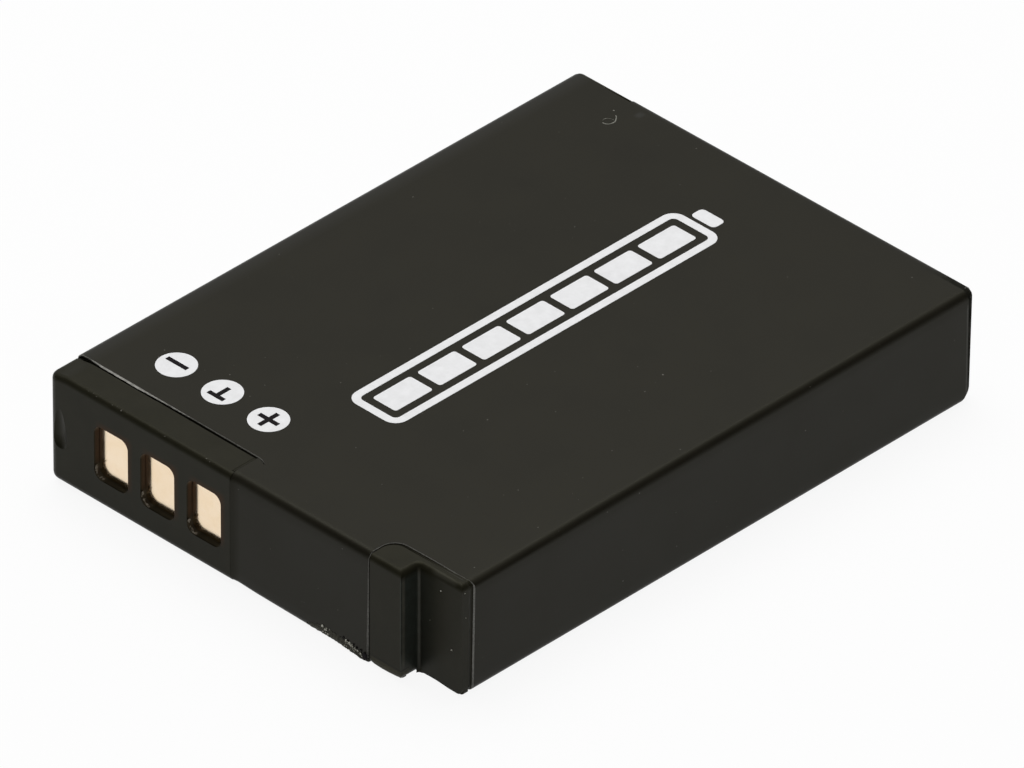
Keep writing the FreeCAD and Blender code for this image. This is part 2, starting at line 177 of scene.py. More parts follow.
def blendColour(tree, factor, first, second):
    inputs = {0: factor, 6: first, 7: second}
    for key, value in inputs.items():
        if isinstance(value, tuple):
            inputs[key] = (*value, 1.0)
    return addNode(tree, "ShaderNodeMix", inputs, data_type="RGBA").outputs[2]


def bumpFrom(tree, height, depthMm, strength, normal=None):
    inputs = {"Height": height, "Distance": depthMm * mm, "Strength": strength}
    if normal is not None:
        inputs["Normal"] = normal
    return addNode(tree, "ShaderNodeBump", inputs).outputs["Normal"]


# printed film: near-black, satin, with a fine grain, faint mottle and a few dust specks
filmFinish = {
    "dark": (0.0092, 0.0080, 0.0052),
    "light": (0.0112, 0.0098, 0.0064),
    "mottleMm": 4.0,
    # one pale tone for the rubbed smudge and for the painted sheen along the far long edge
    "rubAndSheen": (0.026, 0.0255, 0.024),
    "sheenBandY": (14.5, 16.0),         # painted sheen: the film's top is painted paler along its far long edge
    "sheenBandDepth": (0.4, 0.1),       # below the highest level
    "sheenBandShare": 0.8,
    "line": (0.060, 0.060, 0.055),
    "shade": (0.003, 0.003, 0.002),
    "dust": (0.16, 0.155, 0.14),
    "dustMm": 0.22,
    "dustFrom": (0.80, 0.83),
    "rough": (0.38, 0.46),
    "specular": 0.13,
    "sheen": (0.98, 0.97, 0.73),
    "grainMm": 0.07,
    "peelMm": 0.9,
    "bumpMm": 0.004,
    "cutEdge": (0.24, 0.235, 0.21),
    "cutEdgeDull": 0.55,
    "fibreMm": 0.12,
}

# places on the film: painted shade on the folds at the far near corner, a pale line down its side, a smudge
# by the far end
filmShades = (
    {"X": (20.98, 21.10, 22.5, 23.0), "Y": (-17.0, -16.9, -14.2, -11.8), "Z": (7.2, 7.3, 9.0, 10.0)},
    {"X": (21.06, 21.11, 22.5, 23.0), "Y": (-17.0, -16.9, -15.7, -15.5), "Z": (0.3, 0.5, 9.0, 10.0)},
)
filmLine = {"X": (20.93, 20.98, 21.06, 21.10), "Y": (-17.0, -16.9, -15.9, -15.8), "Z": (0.6, 0.9, 6.7, 7.0)}
filmSmudge = {"X": (20.3, 20.6, 20.8, 21.1), "Y": (9.8, 10.0, 10.2, 10.4), "Z": (7.2, 7.3, 9.0, 10.0)}


def filmMaterial():
    material, tree, shader = startMaterial("printedFilm")
    mottle = noiseAt(tree, filmFinish["mottleMm"], 4)
    specks = remap(tree, noiseAt(tree, filmFinish["dustMm"], 1), *filmFinish["dustFrom"])
    sideFrom, sideTo = [mark * mm for mark in filmFinish["sheenBandY"]]
    topFrom, topTo = [(packHigh.z - mark) * mm for mark in filmFinish["sheenBandDepth"]]
    # painted sheen: a paler band on the top along the far long edge
    rubAndSheen = product(tree, remap(tree, placeAt(tree, "Y"), sideFrom, sideTo, 0.0, filmFinish["sheenBandShare"]),
                     remap(tree, placeAt(tree, "Z"), topFrom, topTo))
    shade = larger(tree, *[zoneMask(tree, zone) for zone in filmShades])
    tone = blendColour(tree, noiseSpan(tree, mottle), filmFinish["dark"], filmFinish["light"])
    for mask, colour in ((rubAndSheen, "rubAndSheen"), (specks, "dust"), (zoneMask(tree, filmSmudge), "rubAndSheen"),
                         (zoneMask(tree, filmLine), "line"), (shade, "shade")):
        tone = blendColour(tree, mask, tone, filmFinish[colour])
    peel = bumpFrom(tree, noiseAt(tree, filmFinish["peelMm"], 2), filmFinish["bumpMm"], 0.25)
    grain = noiseAt(tree, filmFinish["grainMm"], 2)
    fill(tree, shader, {
        "Base Color": tone,
        "Roughness": larger(tree, noiseSpan(tree, mottle, *filmFinish["rough"]), shade),
        "Specular IOR Level": filmFinish["specular"],
        "Specular Tint": (*filmFinish["sheen"], 1),
        "Normal": bumpFrom(tree, grain, filmFinish["bumpMm"], 0.30, peel),
    })
    return material


def cutEdgeMaterial():
    material, tree, shader = startMaterial("filmCutEdge")
    fibre = noiseAt(tree, filmFinish["fibreMm"])
    pale = filmFinish["cutEdge"]
    dull = tuple(filmFinish["cutEdgeDull"] * part for part in pale)
    fill(tree, shader, {
        "Base Color": blendColour(tree, remap(tree, fibre, 0.35, 0.65), dull, pale),
        "Roughness": 0.6,
        "Normal": bumpFrom(tree, fibre, 0.01, 0.4),
    })
    return material


# moulded cap: black plastic with a fine spark-eroded grain
capFinish = {
    "dark": (0.0108, 0.0100, 0.0056),
    "light": (0.0144, 0.0134, 0.0080),
    "cloudMm": 1.6,
    "shade": (0.003, 0.003, 0.002),
    "rough": (0.34, 0.44),
    "specular": 0.101,
    "sheen": (0.99, 0.96, 0.68),
    "grainMm": 0.09,
    "bumpMm": 0.008,
}

# contact windows: middles across the width, half sizes, corner radius, warm stain round them, corner dirt and
# painted light
capWindows = {
    "centres": (10.9, 7.115, 3.33),
    "half": (1.385, 1.86),
    "corner": 0.6,
    "markTone": (0.052, 0.016, 0.002),
    "stainReach": 0.42,
    "dirtAndLight": (0.115, 0.096, 0.068),
}


def windowStainsAndLight():
    halfY, halfZ = capWindows["half"]
    reach, middle = capWindows["stainReach"], packHigh.z / 2
    for centre in capWindows["centres"]:
        yield capWindows["markTone"], {
            "X": (-22.0, -21.9, -21.7, -21.6),
            "Y": (centre - halfY - reach, centre - halfY + 0.05, centre + 0.7, centre + halfY - 0.1),
            "Z": (middle - 1.7, middle - 1.0, middle + halfZ - 0.05, middle + halfZ + reach),
        }
        # corner dirt, paled as painted light over the shade between the dust grains
        wall, sill = centre + halfY, middle - halfZ
        yield capWindows["dirtAndLight"], {
            "X": (-21.79, -21.75, -21.40, -21.30),
            "Y": (wall - 0.8, wall - 0.5, wall + 0.3, wall + 0.4),
            "Z": (sill - 0.3, sill - 0.2, sill + 0.5, sill + 0.9),
        }


# stained places of the cap, and places with painted light and shade: a tone, and its place along each axis
windowWalls = {"X": (-21.74, -21.64, -21.30, -21.20), "Y": (0.8, 1.2, 12.6, 13.0)}
stepReturn = {"Y": (-12.80, -12.70, -12.56, -12.48)}
stepFoot = {"X": (-22.0, -21.9, -21.2, -21.1)}
capStainsAndLight = (
    # brown tint in the windows, a painted reflection of the gold, and their dull sills
    ((0.054, 0.024, 0.011), {**windowWalls, "Z": (2.4, 3.1, 5.7, 6.1)}),
    ((0.044, 0.036, 0.022), {**windowWalls, "Z": (1.5, 1.7, 2.5, 3.1)}),
    # grime on the return of the key's step, and a painted highlight along its outer edge
    ((0.028, 0.033, 0.028), {**stepReturn, "X": (-21.90, -21.80, -20.50, -20.40), "Z": (0.2, 0.5, 7.0, 7.4)}),
    ((0.072, 0.070, 0.056), {**stepReturn, "X": (-21.75, -21.67, -21.56, -21.44), "Z": (0.8, 1.2, 7.0, 7.4)}),
    # dust on the key's face beside the return, and a painted highlight line in their corner
    ((0.024, 0.025, 0.020), {"X": (-20.50, -20.45, -20.20, -20.10), "Y": (-14.4, -13.2, -12.80, -12.72),
                             "Z": (0.2, 0.5, 7.0, 7.4)}),
    ((0.060, 0.060, 0.054), {"X": (-20.48, -20.45, -20.38, -20.34), "Y": (-12.76, -12.72, -12.62, -12.58),
                             "Z": (0.2, 0.5, 7.0, 7.3)}),
    # painted highlight along the rim on top of the key
    ((0.034, 0.033, 0.025), {"X": (-20.34, -20.28, -20.12, -20.02), "Y": (-15.6, -15.2, -13.9, -13.4),
                             "Z": (7.35, 7.50, 7.72, 7.80)}),
    # rubbed foot below the step, with a painted shadow line over it
    ((0.046, 0.042, 0.024), {**stepFoot, "Y": (-12.75, -12.6, -10.3, -10.1), "Z": (0.10, 0.16, 0.72, 0.80)}),
    ((0.004, 0.003, 0.002), {**stepFoot, "Y": (-12.75, -12.6, -10.1, -9.9), "Z": (0.80, 0.84, 0.90, 0.95)}),
)

# painted shade on the cap: a shadow line along the tongue's far edge, and shade at the bare upright corner of
# the far end
capShades = (
    {"X": (-22.0, -21.9, -21.5, -21.4), "Y": (-10.14, -10.08, -9.80, -9.70), "Z": (0.2, 0.4, 7.3, 7.5)},
    {"X": (21.16, 21.24, 22.5, 23.0), "Y": (-17.0, -16.9, -14.0, -13.0), "Z": (-1.0, -0.9, 9.0, 10.0)},
)


def capMaterial():
    material, tree, shader = startMaterial("mouldedCap")
    cloud = noiseAt(tree, capFinish["cloudMm"], 4)
    grain = noiseAt(tree, capFinish["grainMm"])
    tone = blendColour(tree, noiseSpan(tree, cloud), capFinish["dark"], capFinish["light"])
    # stains, and the painted reflection, highlights and shadow lines on the cap
    for markTone, zone in (*capStainsAndLight, *windowStainsAndLight()):
        tone = blendColour(tree, zoneMask(tree, zone), tone, markTone)
    shade = larger(tree, *[zoneMask(tree, zone) for zone in capShades])
    fill(tree, shader, {
        "Base Color": blendColour(tree, shade, tone, capFinish["shade"]),
        "Roughness": larger(tree, noiseSpan(tree, grain, *capFinish["rough"]), shade),
        "Specular IOR Level": capFinish["specular"],
        "Specular Tint": (*capFinish["sheen"], 1),
        "Normal": bumpFrom(tree, grain, capFinish["bumpMm"], 0.35),
    })
    return material


# plated contacts: pale satin gold, a little cloudy and finely pitted
goldFinish = {
    "pale": (0.90, 0.74, 0.55),
    "deep": (0.86, 0.68, 0.47),
    "rough": (0.13, 0.19),
    "cloudMm": 1.1,
    "pitMm": 0.08,
    "bumpMm": 0.002,
}


def goldMaterial():
    material, tree, shader = startMaterial("platedGold")
    cloud = noiseAt(tree, goldFinish["cloudMm"], 4)
    fill(tree, shader, {
        "Base Color": blendColour(tree, noiseSpan(tree, cloud), goldFinish["deep"], goldFinish["pale"]),
        "Metallic": 1.0,
        "Roughness": noiseSpan(tree, cloud, *goldFinish["rough"]),
        "Normal": bumpFrom(tree, noiseAt(tree, goldFinish["pitMm"]), goldFinish["bumpMm"], 0.15),
    })
    return material


def mottledMaterial(name, dark, light, sizeMm, rough, metal=0.0, bumpMm=0.006, specular=0.5):
    material, tree, shader = startMaterial(name)
    cloud = noiseAt(tree, sizeMm, 4)
    fill(tree, shader, {
        "Base Color": blendColour(tree, noiseSpan(tree, cloud), dark, light),
        "Metallic": metal,
        "Roughness": noiseSpan(tree, cloud, rough, rough + 0.12),
        "Specular IOR Level": specular,
        "Normal": bumpFrom(tree, noiseAt(tree, sizeMm / 8, 2), bumpMm, 0.3),
    })
    return material


# finishes of the pieces inside, by record slot: dark tone, light tone, mottle size, roughness, metal
innerFinishes = {
    "tape": ((0.62, 0.61, 0.57), (0.75, 0.74, 0.70), 0.8, 0.7, 0.0),
    "can_aluminium": ((0.60, 0.60, 0.61), (0.72, 0.72, 0.73), 1.5, 0.35, 1.0),
    "gasket_plastic": ((0.10, 0.10, 0.11), (0.14, 0.14, 0.15), 0.6, 0.5, 0.0),
    "strip_nickel": ((0.55, 0.53, 0.49), (0.66, 0.64, 0.60), 0.7, 0.3, 1.0),
    "fibre_sheet": ((0.60, 0.52, 0.36), (0.72, 0.64, 0.47), 0.4, 0.8, 0.0),
    "cutoff_plastic": ((0.06, 0.06, 0.06), (0.09, 0.09, 0.09), 0.5, 0.5, 0.0),
    "board_laminate": ((0.02, 0.15, 0.06), (0.03, 0.22, 0.09), 0.9, 0.35, 0.0),
    "chip_plastic": ((0.03, 0.03, 0.03), (0.05, 0.05, 0.05), 0.4, 0.55, 0.0),
    "chip_ceramic": ((0.38, 0.30, 0.21), (0.48, 0.39, 0.28), 0.3, 0.6, 0.0),
}

cutEdge = cutEdgeMaterial()
filmBlack = filmMaterial()
capBlack = capMaterial()
gold = goldMaterial()
innerMaterials = {slot: mottledMaterial(slot, *finish) for slot, finish in innerFinishes.items()}
slotMaterials = {"film": filmBlack, "cap_plastic": capBlack, "contact_gold": gold, **innerMaterials}
for row in frame["record"]["subparts"]:
    mesh = nodes[row["node"]].data
    mesh.materials.clear()
    mesh.materials.append(slotMaterials[row["material_slot"]])
print("finishes set on", len(nodes), "nodes")


# film sleeve: one thin sheet folded round the cell, with a tongue over each end
filmWrap = {
    "inkRoom": 0.02,         # the film's top lies this far under the highest level, as room for the ink
    "edgeRadius": 0.55,
    "contactEdge": 2.38,     # setbacks of its front edge from the contact end
    "contactSlope": 0.006,
    "keyEdge": 2.21,
    "keySlope": 0.09,
    "keySideStep": 0.16,
    "keySideSlope": 0.13,
    "tongueInset": 14.9,
    "tongueWidth": 11.1,
    "tongueTaper": 0.16,
    "taperReach": 2.0,
    "slitLength": 0.72,
    "slitWidth": 0.12,
    "slitCurl": 0.24,
    "keyCutRadius": 1.05,
    "rearTongueInset": 4.65,
    "gridStep": 0.6,
    "edgeLine": 0.4,         # a line of the grid beside the tongue's far edge
    "bendSteps": 8,
    "warpReach": 3.0,
    "crownDrop": 0.05,       # how far the film sinks towards its far long edge
    "crownReach": 1.6,
    "sagDrop": 0.085,        # and towards the near corner of the key
    "sagFrom": (-6.0, -12.6),
    "sagReach": (13.0, 3.4),
    "edgeSlope": 0.06,       # the cut edges slope out by this much
    "edgePale": 0.5,         # and their upper part shows the pale core
    "uprightGain": 1.6,      # both are more on upright faces
    "nearLift": 0.07,        # the tongue rises to the land at its near edge
    "nearReach": 0.4,
    "footRise": 0.065,       # its foot lies higher towards that edge
    "footFrom": -4.5,
    "footReach": 3.9,
    "footTip": 0.07,
    "footTipReach": 1.2,
}


def clamp(value):
    return min(1.0, max(0.0, value))


def smoothRise(value):
    value = clamp(value)
    return value * value * (3 - 2 * value)


def filmTopOffset(x, y, sideY):
    crown = max(0.0, 1 - (sideY - y) / filmWrap["crownReach"])
    fromX, fromY = filmWrap["sagFrom"]
    reachX, reachY = filmWrap["sagReach"]
    sag = smoothRise((fromX - x) / reachX) * smoothRise((fromY - y) / reachY)
    return -filmWrap["crownDrop"] * crown * crown - filmWrap["sagDrop"] * sag


# far corner at the -Y side: it leans in towards its foot, which is knocked back a little
farCorner = {
    "lean": 0.16,
    "footPull": 0.36,
    "footHigh": 0.9,
    "levels": (0.3, 0.5, 0.7, 0.9, 1.1),     # where the plate gets points along its upright corner
    "weld": 0.0005,
    "sideFrom": -15.5,
    "sideReach": 0.3,
    "alongFrom": 19.2,
    "alongReach": 1.9,
}


def cornerPull(x, y, z):
    aside = smoothRise((farCorner["sideFrom"] - y) / farCorner["sideReach"])
    along = smoothRise((x - farCorner["alongFrom"]) / farCorner["alongReach"])
    foot = smoothRise((farCorner["footHigh"] - z) / farCorner["footHigh"])
    return aside * along * (farCorner["lean"] * (1 - z / packHigh.z) + farCorner["footPull"] * foot)


# moulded pieces that the scene reshapes a little start as copies of their nodes, with cuts where they bend

def copyNode(node, cutDirection, cutPlaces, weldMm=0.0):
    bm = bmesh.new()
    bm.from_mesh(nodes[node].data)
    bm.transform(Matrix.Scale(1 / mm, 4))
    if weldMm:
        bmesh.ops.remove_doubles(bm, verts=bm.verts, dist=weldMm)
    for place in cutPlaces:
        everything = [*bm.verts, *bm.edges, *bm.faces]
        cutPoint = Vector(cutDirection) * place
        bmesh.ops.bisect_plane(bm, geom=everything, plane_co=cutPoint, plane_no=cutDirection)
    return bm


def mouldedPiece(name, bm, node):
    piece = meshPiece(name, bm, [capBlack])
    smoothShade(piece, 30)
    weigh = piece.modifiers.new("flatFaces", "WEIGHTED_NORMAL")     # flat faces keep flat shading
    weigh.mode = "FACE_AREA"
    weigh.weight = 100
    weigh.keep_sharp = True
    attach(piece, "root")
    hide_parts(node)


def buildFarPlate():
    bm = copyNode("rear_cap", (0, 0, 1), farCorner["levels"], farCorner["weld"])
    for vert in bm.verts:
        vert.co.x -= cornerPull(*vert.co)
    mouldedPiece("farPlate", bm, "rear_cap")


# contact cap: its top falls off a little towards the +Y side, and the key's foot rises by the step
capFall = {
    "drop": 0.14,
    "from": 14.4,
    "reach": 1.3,
    "lines": (14.4, 14.7, 15.0, 15.3, -13.0, -13.5, -14.0, -14.5, -15.0),
    "heightFrom": 6.4,
    "heightReach": 0.8,
    "keyRise": 0.10,
    "keySpan": (-15.2, -13.9, -13.1, -12.75),
    "keyX": (-20.45, -19.9),
    "keyHigh": 1.2,
}


def buildContactCap():
    bm = copyNode("terminal_cap", (0, 1, 0), capFall["lines"])
    keyLow, keyHigh = capFall["keyX"]
    start, full, last, end = capFall["keySpan"]
    for vert in bm.verts:
        aside = smoothRise((vert.co.y - capFall["from"]) / capFall["reach"])
        high = smoothRise((vert.co.z - capFall["heightFrom"]) / capFall["heightReach"])
        vert.co.z -= capFall["drop"] * aside * high
        if keyLow < vert.co.x < keyHigh and vert.co.z < capFall["keyHigh"]:
            rise = smoothRise((vert.co.y - start) / (full - start))
            rise *= smoothRise((end - vert.co.y) / (end - last))
            vert.co.z += capFall["keyRise"] * rise * (1 - vert.co.z / capFall["keyHigh"])
    mouldedPiece("contactCap", bm, "terminal_cap")


def thickenSheet(bm, thickness):
    bm.normal_update()
    sheet = list(bm.faces)
    rims, outward = [], {}
    for edge in bm.edges:
        if edge.is_boundary:
            face = edge.link_faces[0]
            loop = next(corner for corner in face.loops if corner.edge == edge)
            start, end = loop.vert, loop.link_loop_next.vert
            side = (end.co - start.co).cross(face.normal).normalized()
            rims.append((start, end, side))
            for vert in (start, end):
                outward[vert] = outward.get(vert, Vector()) + side
    under = {vert: bm.verts.new(vert.co - vert.normal * thickness * min(1.3, vert.calc_shell_factor()))
             for vert in list(bm.verts)}
    middle = {}
    for vert, side in outward.items():
        side.normalize()
        gain = filmWrap["uprightGain"] if abs(vert.normal.z) < 0.5 else 1.0
        if side.y < 0.5:
            under[vert].co += side * filmWrap["edgeSlope"] * gain
        middle[vert] = bm.verts.new(vert.co.lerp(under[vert].co, filmWrap["edgePale"] * gain))
    for start, end, side in rims:
        upper = bm.faces.new((end, start, middle[start], middle[end]))
        upper.material_index = 1 if side.y < 0.5 else 0
        bm.faces.new((middle[end], middle[start], under[start], under[end]))
    for face in sheet:
        bm.faces.new([under[vert] for vert in reversed(face.verts)])


def buildFilm():
    low, high = boxOf("wrap_label")
    thickness = boxOf("cell_can")[0].z - low.z - filmWrap["inkRoom"]
    high.z -= filmWrap["inkRoom"]
    radius, step = filmWrap["edgeRadius"], filmWrap["gridStep"]
    bends = filmWrap["bendSteps"]
    panelX, foldX = packLow.x + filmWrap["contactEdge"], high.x - radius
    keyX, endX = packLow.x + filmWrap["keyEdge"], low.x + radius
    tongueNear = high.y - filmWrap["tongueInset"]
    tongueFar = tongueNear - filmWrap["tongueWidth"]
    rearNear = high.y - filmWrap["rearTongueInset"]
    slitY = tongueNear - filmWrap["slitLength"]
    keyY = tongueFar - filmWrap["keyCutRadius"]
    innerY, innerZ = high.y - radius, (low.z + radius, high.z - radius)
    slitX = panelX - filmWrap["slitCurl"]

    def frontEdge(y, z):
        if y > tongueNear:
            return panelX + filmWrap["contactSlope"] * (y - tongueNear)
        if y > slitY:
            return panelX - filmWrap["slitCurl"] * ((tongueNear - y) / filmWrap["slitLength"]) ** 2
        if y > tongueFar:
            return slitX + (keyX - slitX) * (slitY - y) / (slitY - tongueFar)
        aside = clamp((-innerY - y) / radius)
        along = clamp((keyY - y) / (keyY + innerY))
        fall = (high.z - z) / (high.z - low.z)
        sideStep = filmWrap["keySideStep"] - filmWrap["keySideSlope"] * fall
        return keyX + filmWrap["keySlope"] * along + aside * sideStep

    nearY = tongueNear - filmWrap["nearReach"]
    linesY = stops([-innerY, keyY, tongueFar, tongueFar + filmWrap["edgeLine"], slitY, nearY,
                    (nearY + tongueNear) / 2, tongueNear, rearNear, innerY], step)
    linesX = stops([panelX, foldX], step)
    linesZ = spread(innerZ[1], innerZ[0], step)
    countY = len(linesY)

    # one closed loop round the section: top, +Y side, underside, -Y side
    loop = [(y, high.z) for y in linesY]
    loop += bendPoints((innerY, innerZ[1]), radius, 90, 0, bends)
    loop += [(high.y, z) for z in linesZ]
    loop += bendPoints((innerY, innerZ[0]), radius, 0, -90, bends)
    underStart = len(loop)
    loop += [(y, low.z) for y in reversed(linesY)]
    loop += bendPoints((-innerY, innerZ[0]), radius, -90, -180, bends)
    loop += [(low.y, z) for z in reversed(linesZ)]
    loop += bendPoints((-innerY, innerZ[1]), radius, 180, 90, bends)

    bm = bmesh.new()
    sleeve = []
    for x in linesX:
        share = max(0.0, 1 - (x - panelX) / filmWrap["warpReach"])
        sleeve.append([bm.verts.new((x + (frontEdge(y, z) - panelX) * share, y, z)) for y, z in loop])
    for first, second in zip(sleeve, sleeve[1:]):
        for j in range(len(loop)):
            k = (j + 1) % len(loop)
            bm.faces.new((first[j], second[j], second[k], first[k]))

    def underIndex(k):
        return underStart + countY - 1 - k

    def foldTongue(rim, path, columns, skip):
        rows = [[rim[k] for k in columns]]
        for place in path:
            rows.append([bm.verts.new(place(linesY[k])) for k in columns])
        rows.append([rim[underIndex(k)] for k in columns])
        for i, (first, second) in enumerate(zip(rows, rows[1:])):
            for j in range(len(columns) - 1):
                if not skip(i, len(rows) - 2, linesY[columns[j]]):
                    bm.faces.new((first[j], first[j + 1], second[j + 1], second[j]))
        return rows

    # tongue over the contact end, slit at its root beside the contacts
    arcRadius = filmWrap["keyCutRadius"]
    keyShare = arcRadius / (keyX - endX)
    slitShare = filmWrap["slitWidth"] / (panelX - endX)
    shares = stops([0.0, slitShare, keyShare, 1.0], 0.25)

    def onTop(share, z):
        return lambda y: (frontEdge(y, z) * (1 - share) + endX * share, y, z)

    def onEnd(x, z):
        fall = filmWrap["tongueTaper"] * (high.z - z) / (high.z - low.z)
        return lambda y: (x, y + fall * max(0.0, 1 - (y - tongueFar) / filmWrap["taperReach"]), z)

    def onFront(x, z):
        plain = onEnd(x, z)
        out = filmWrap["nearLift"] * (endX - x) / radius
        foot = smoothRise((innerZ[0] - z) / radius + 0.2)

        def place(y):
            px, py, pz = plain(y)
            rise = filmWrap["footRise"] * clamp((y - filmWrap["footFrom"]) / filmWrap["footReach"])
            rise += filmWrap["footTip"] * smoothRise((y - tongueNear) / filmWrap["footTipReach"] + 1.5)
            return px - out * smoothRise((y - nearY) / filmWrap["nearReach"]), py, pz + rise * foot
        return place

    frontPath = [onTop(share, high.z) for share in shares[1:]]
    frontPath += [onFront(x, z) for x, z in bendPoints((endX, innerZ[1]), radius, 90, 180, bends)]
    frontPath += [onFront(low.x, z) for z in linesZ]
    frontPath += [onFront(x, z) for x, z in bendPoints((endX, innerZ[0]), radius, 180, 270, bends)]
    frontPath += [onTop(share, low.z) for share in reversed(shares[1:])]
    frontColumns = [k for k, y in enumerate(linesY) if tongueFar - close < y < tongueNear + close]
    rows = foldTongue(sleeve[0], frontPath, frontColumns,
                      lambda i, last, y: i in (0, last) and y > slitY - close)

    # rounded inner corner of the cut-out beside the key, above and below
    reach = next(i for i, share in enumerate(shares) if abs(share - keyShare) < close)
    keyColumns = [k for k, y in enumerate(linesY) if keyY - close < y < tongueFar - close]
    arc = bendPoints((keyX - arcRadius, keyY), arcRadius, 90, 0, bends)
    for z, tongueRows, edge in ((high.z, rows, keyColumns),
                                (low.z, rows[::-1], [underIndex(k) for k in keyColumns])):
        side = [row[0] for row in tongueRows[:reach + 1]]
        corner = [bm.verts.new((x, y, z)) for x, y in arc]
        bm.faces.new(side + corner + [sleeve[0][k] for k in edge])

    # tongue over the far end
    rearPath = [onEnd(x, z) for x, z in bendPoints((foldX, innerZ[1]), radius, 90, 0, bends)]
    rearPath += [onEnd(high.x, z) for z in linesZ]
    rearPath += [onEnd(x, z) for x, z in bendPoints((foldX, innerZ[0]), radius, 0, -90, bends)]
    rearColumns = [k for k, y in enumerate(linesY) if y < rearNear + close]
    foldTongue(sleeve[-1], rearPath, rearColumns, lambda i, last, y: False)

    for vert in bm.verts:
        rise = smoothRise((vert.co.z - innerZ[1]) / radius)
        vert.co.z += filmTopOffset(vert.co.x, vert.co.y, high.y) * rise
        vert.co.x -= cornerPull(*vert.co)
    bmesh.ops.recalc_face_normals(bm, faces=bm.faces)
    topFace = min(bm.faces, key=lambda face: (face.calc_center_median() - Vector((0, 0, high.z))).length)
    if topFace.normal.z < 0:
        bmesh.ops.reverse_faces(bm, faces=bm.faces)
    thickenSheet(bm, thickness)
    piece = meshPiece("filmSleeve", bm, [filmBlack, cutEdge])
    smoothShade(piece, 40)
    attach(piece, "root")
    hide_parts("wrap_label")


buildContactCap()
buildFarPlate()
buildFilm()
print("caps shaped and film sleeve folded")


# print on the film: thin fields of ink
polarityPrint = {
    "discRadius": 1.24,
    "setback": 5.442,        # from the contact end to the discs' middles
    "firstInset": 5.016,     # from the +Y side to the first disc
    "pitch": 3.808,
    "lean": 0.015,           # the print runs a little askew
    "stroke": 0.32,
    "minusSpan": (-0.75, 0.91),
    "minusOffset": 0.14,
    "plusLength": 1.55,
    "teeWidth": 1.27,
    "teeSpan": (-0.67, 0.56),
    "segments": 72,
    "inkHeight": 0.01,
    "markHeight": 0.018,
}
whiteInk = mottledMaterial("whiteInk", (0.77, 0.77, 0.775), (0.84, 0.842, 0.85), 0.5, 0.45,
                           bumpMm=0.002, specular=0.2)
blackInkAndShadow = mottledMaterial("blackInkAndShadow", (0.004, 0.003, 0.004), (0.008, 0.006, 0.007), 0.3, 0.5,
                           bumpMm=0.002, specular=0.06)


def roundedField(x0, x1, y0, y1, radius, steps=8):
    centres = [(x1 - radius, y1 - radius, 0), (x0 + radius, y1 - radius, 90),
               (x0 + radius, y0 + radius, 180), (x1 - radius, y0 + radius, 270)]
    points = []
    for cx, cy, start in centres:
        for i in range(steps + 1):
            turn = math.radians(start + 90 * i / steps)
            points.append((cx + radius * math.cos(turn), cy + radius * math.sin(turn)))
    return points


def addField(bm, outline, z0, z1, hole=None):
    def ring(points, z):
        return [bm.verts.new((x, y, z)) for x, y in points]
    walls = [(ring(outline, z0), ring(outline, z1))]
    if hole:
        walls.append((ring(hole, z0), ring(hole, z1)))
    for under, over in walls:
        for i in range(len(under)):
            k = (i + 1) % len(under)
            bm.faces.new((under[i], under[k], over[k], over[i]))
    for level in (0, 1):
        if hole:
            outer, inner = walls[0][level], walls[1][level]
            for i in range(len(outer)):
                k = (i + 1) % len(outer)
                bm.faces.new((outer[i], outer[k], inner[k], inner[i]))
        else:
            bm.faces.new(walls[0][level])


def inkPiece(name, bm, material):
    bmesh.ops.recalc_face_normals(bm, faces=bm.faces)
    piece = meshPiece(name, bm, [material])
    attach(piece, "root")


def buildPolarityPrint():
    high = boxOf("wrap_label")[1]
    top, ink = high.z - filmWrap["inkRoom"], polarityPrint["inkHeight"]
    half, wide = polarityPrint["stroke"] / 2, polarityPrint["teeWidth"] / 2
    teeTop, teeFoot = polarityPrint["teeSpan"]
    minusX, (minusLow, minusHigh) = polarityPrint["minusOffset"], polarityPrint["minusSpan"]
    arm = polarityPrint["plusLength"] / 2
    shapes = [
        [(minusX - half, minusLow), (minusX + half, minusLow),
         (minusX + half, minusHigh), (minusX - half, minusHigh)],
        [(teeTop, -wide), (teeTop + 2 * half, -wide), (teeTop + 2 * half, -half), (teeFoot, -half),
         (teeFoot, half), (teeTop + 2 * half, half), (teeTop + 2 * half, wide), (teeTop, wide)],
        [(-arm, -half), (-half, -half), (-half, -arm), (half, -arm), (half, -half), (arm, -half),
         (arm, half), (half, half), (half, arm), (-half, arm), (-half, half), (-arm, half)],
    ]
    discs, marks = bmesh.new(), bmesh.new()
    count, radius = polarityPrint["segments"], polarityPrint["discRadius"]
    for place, shape in enumerate(shapes):
        middleX = packLow.x + polarityPrint["setback"]
        middleX += polarityPrint["lean"] * polarityPrint["pitch"] * (1 - place)
        middleY = high.y - polarityPrint["firstInset"] - polarityPrint["pitch"] * place
        turns = [2 * math.pi * i / count for i in range(count)]
        outline = [(middleX + radius * math.cos(a), middleY + radius * math.sin(a)) for a in turns]
        addField(discs, outline, top - ink / 2, top + ink)
        mark = [(middleX + x, middleY + y) for x, y in shape]
        addField(marks, mark, top + ink, top + polarityPrint["markHeight"])
    inkPiece("polarityDiscs", discs, whiteInk)
    inkPiece("polarityMarks", marks, blackInkAndShadow)


buildPolarityPrint()


# plain battery sign along the middle: an outline, its nub and charge bars
chargeSign = {
    "startX": -11.8,
    "length": 26.9,
    "nubLength": 1.0,
    "nubHeight": 1.9,
    "nubCorner": 0.3,
    "middleY": -0.15,
    "height": 4.1,
    "line": 0.55,
    "corner": 0.9,
    "bars": 7,
    "barGap": 0.55,
    "barCorner": 0.2,
    "inkHeight": 0.01,
}


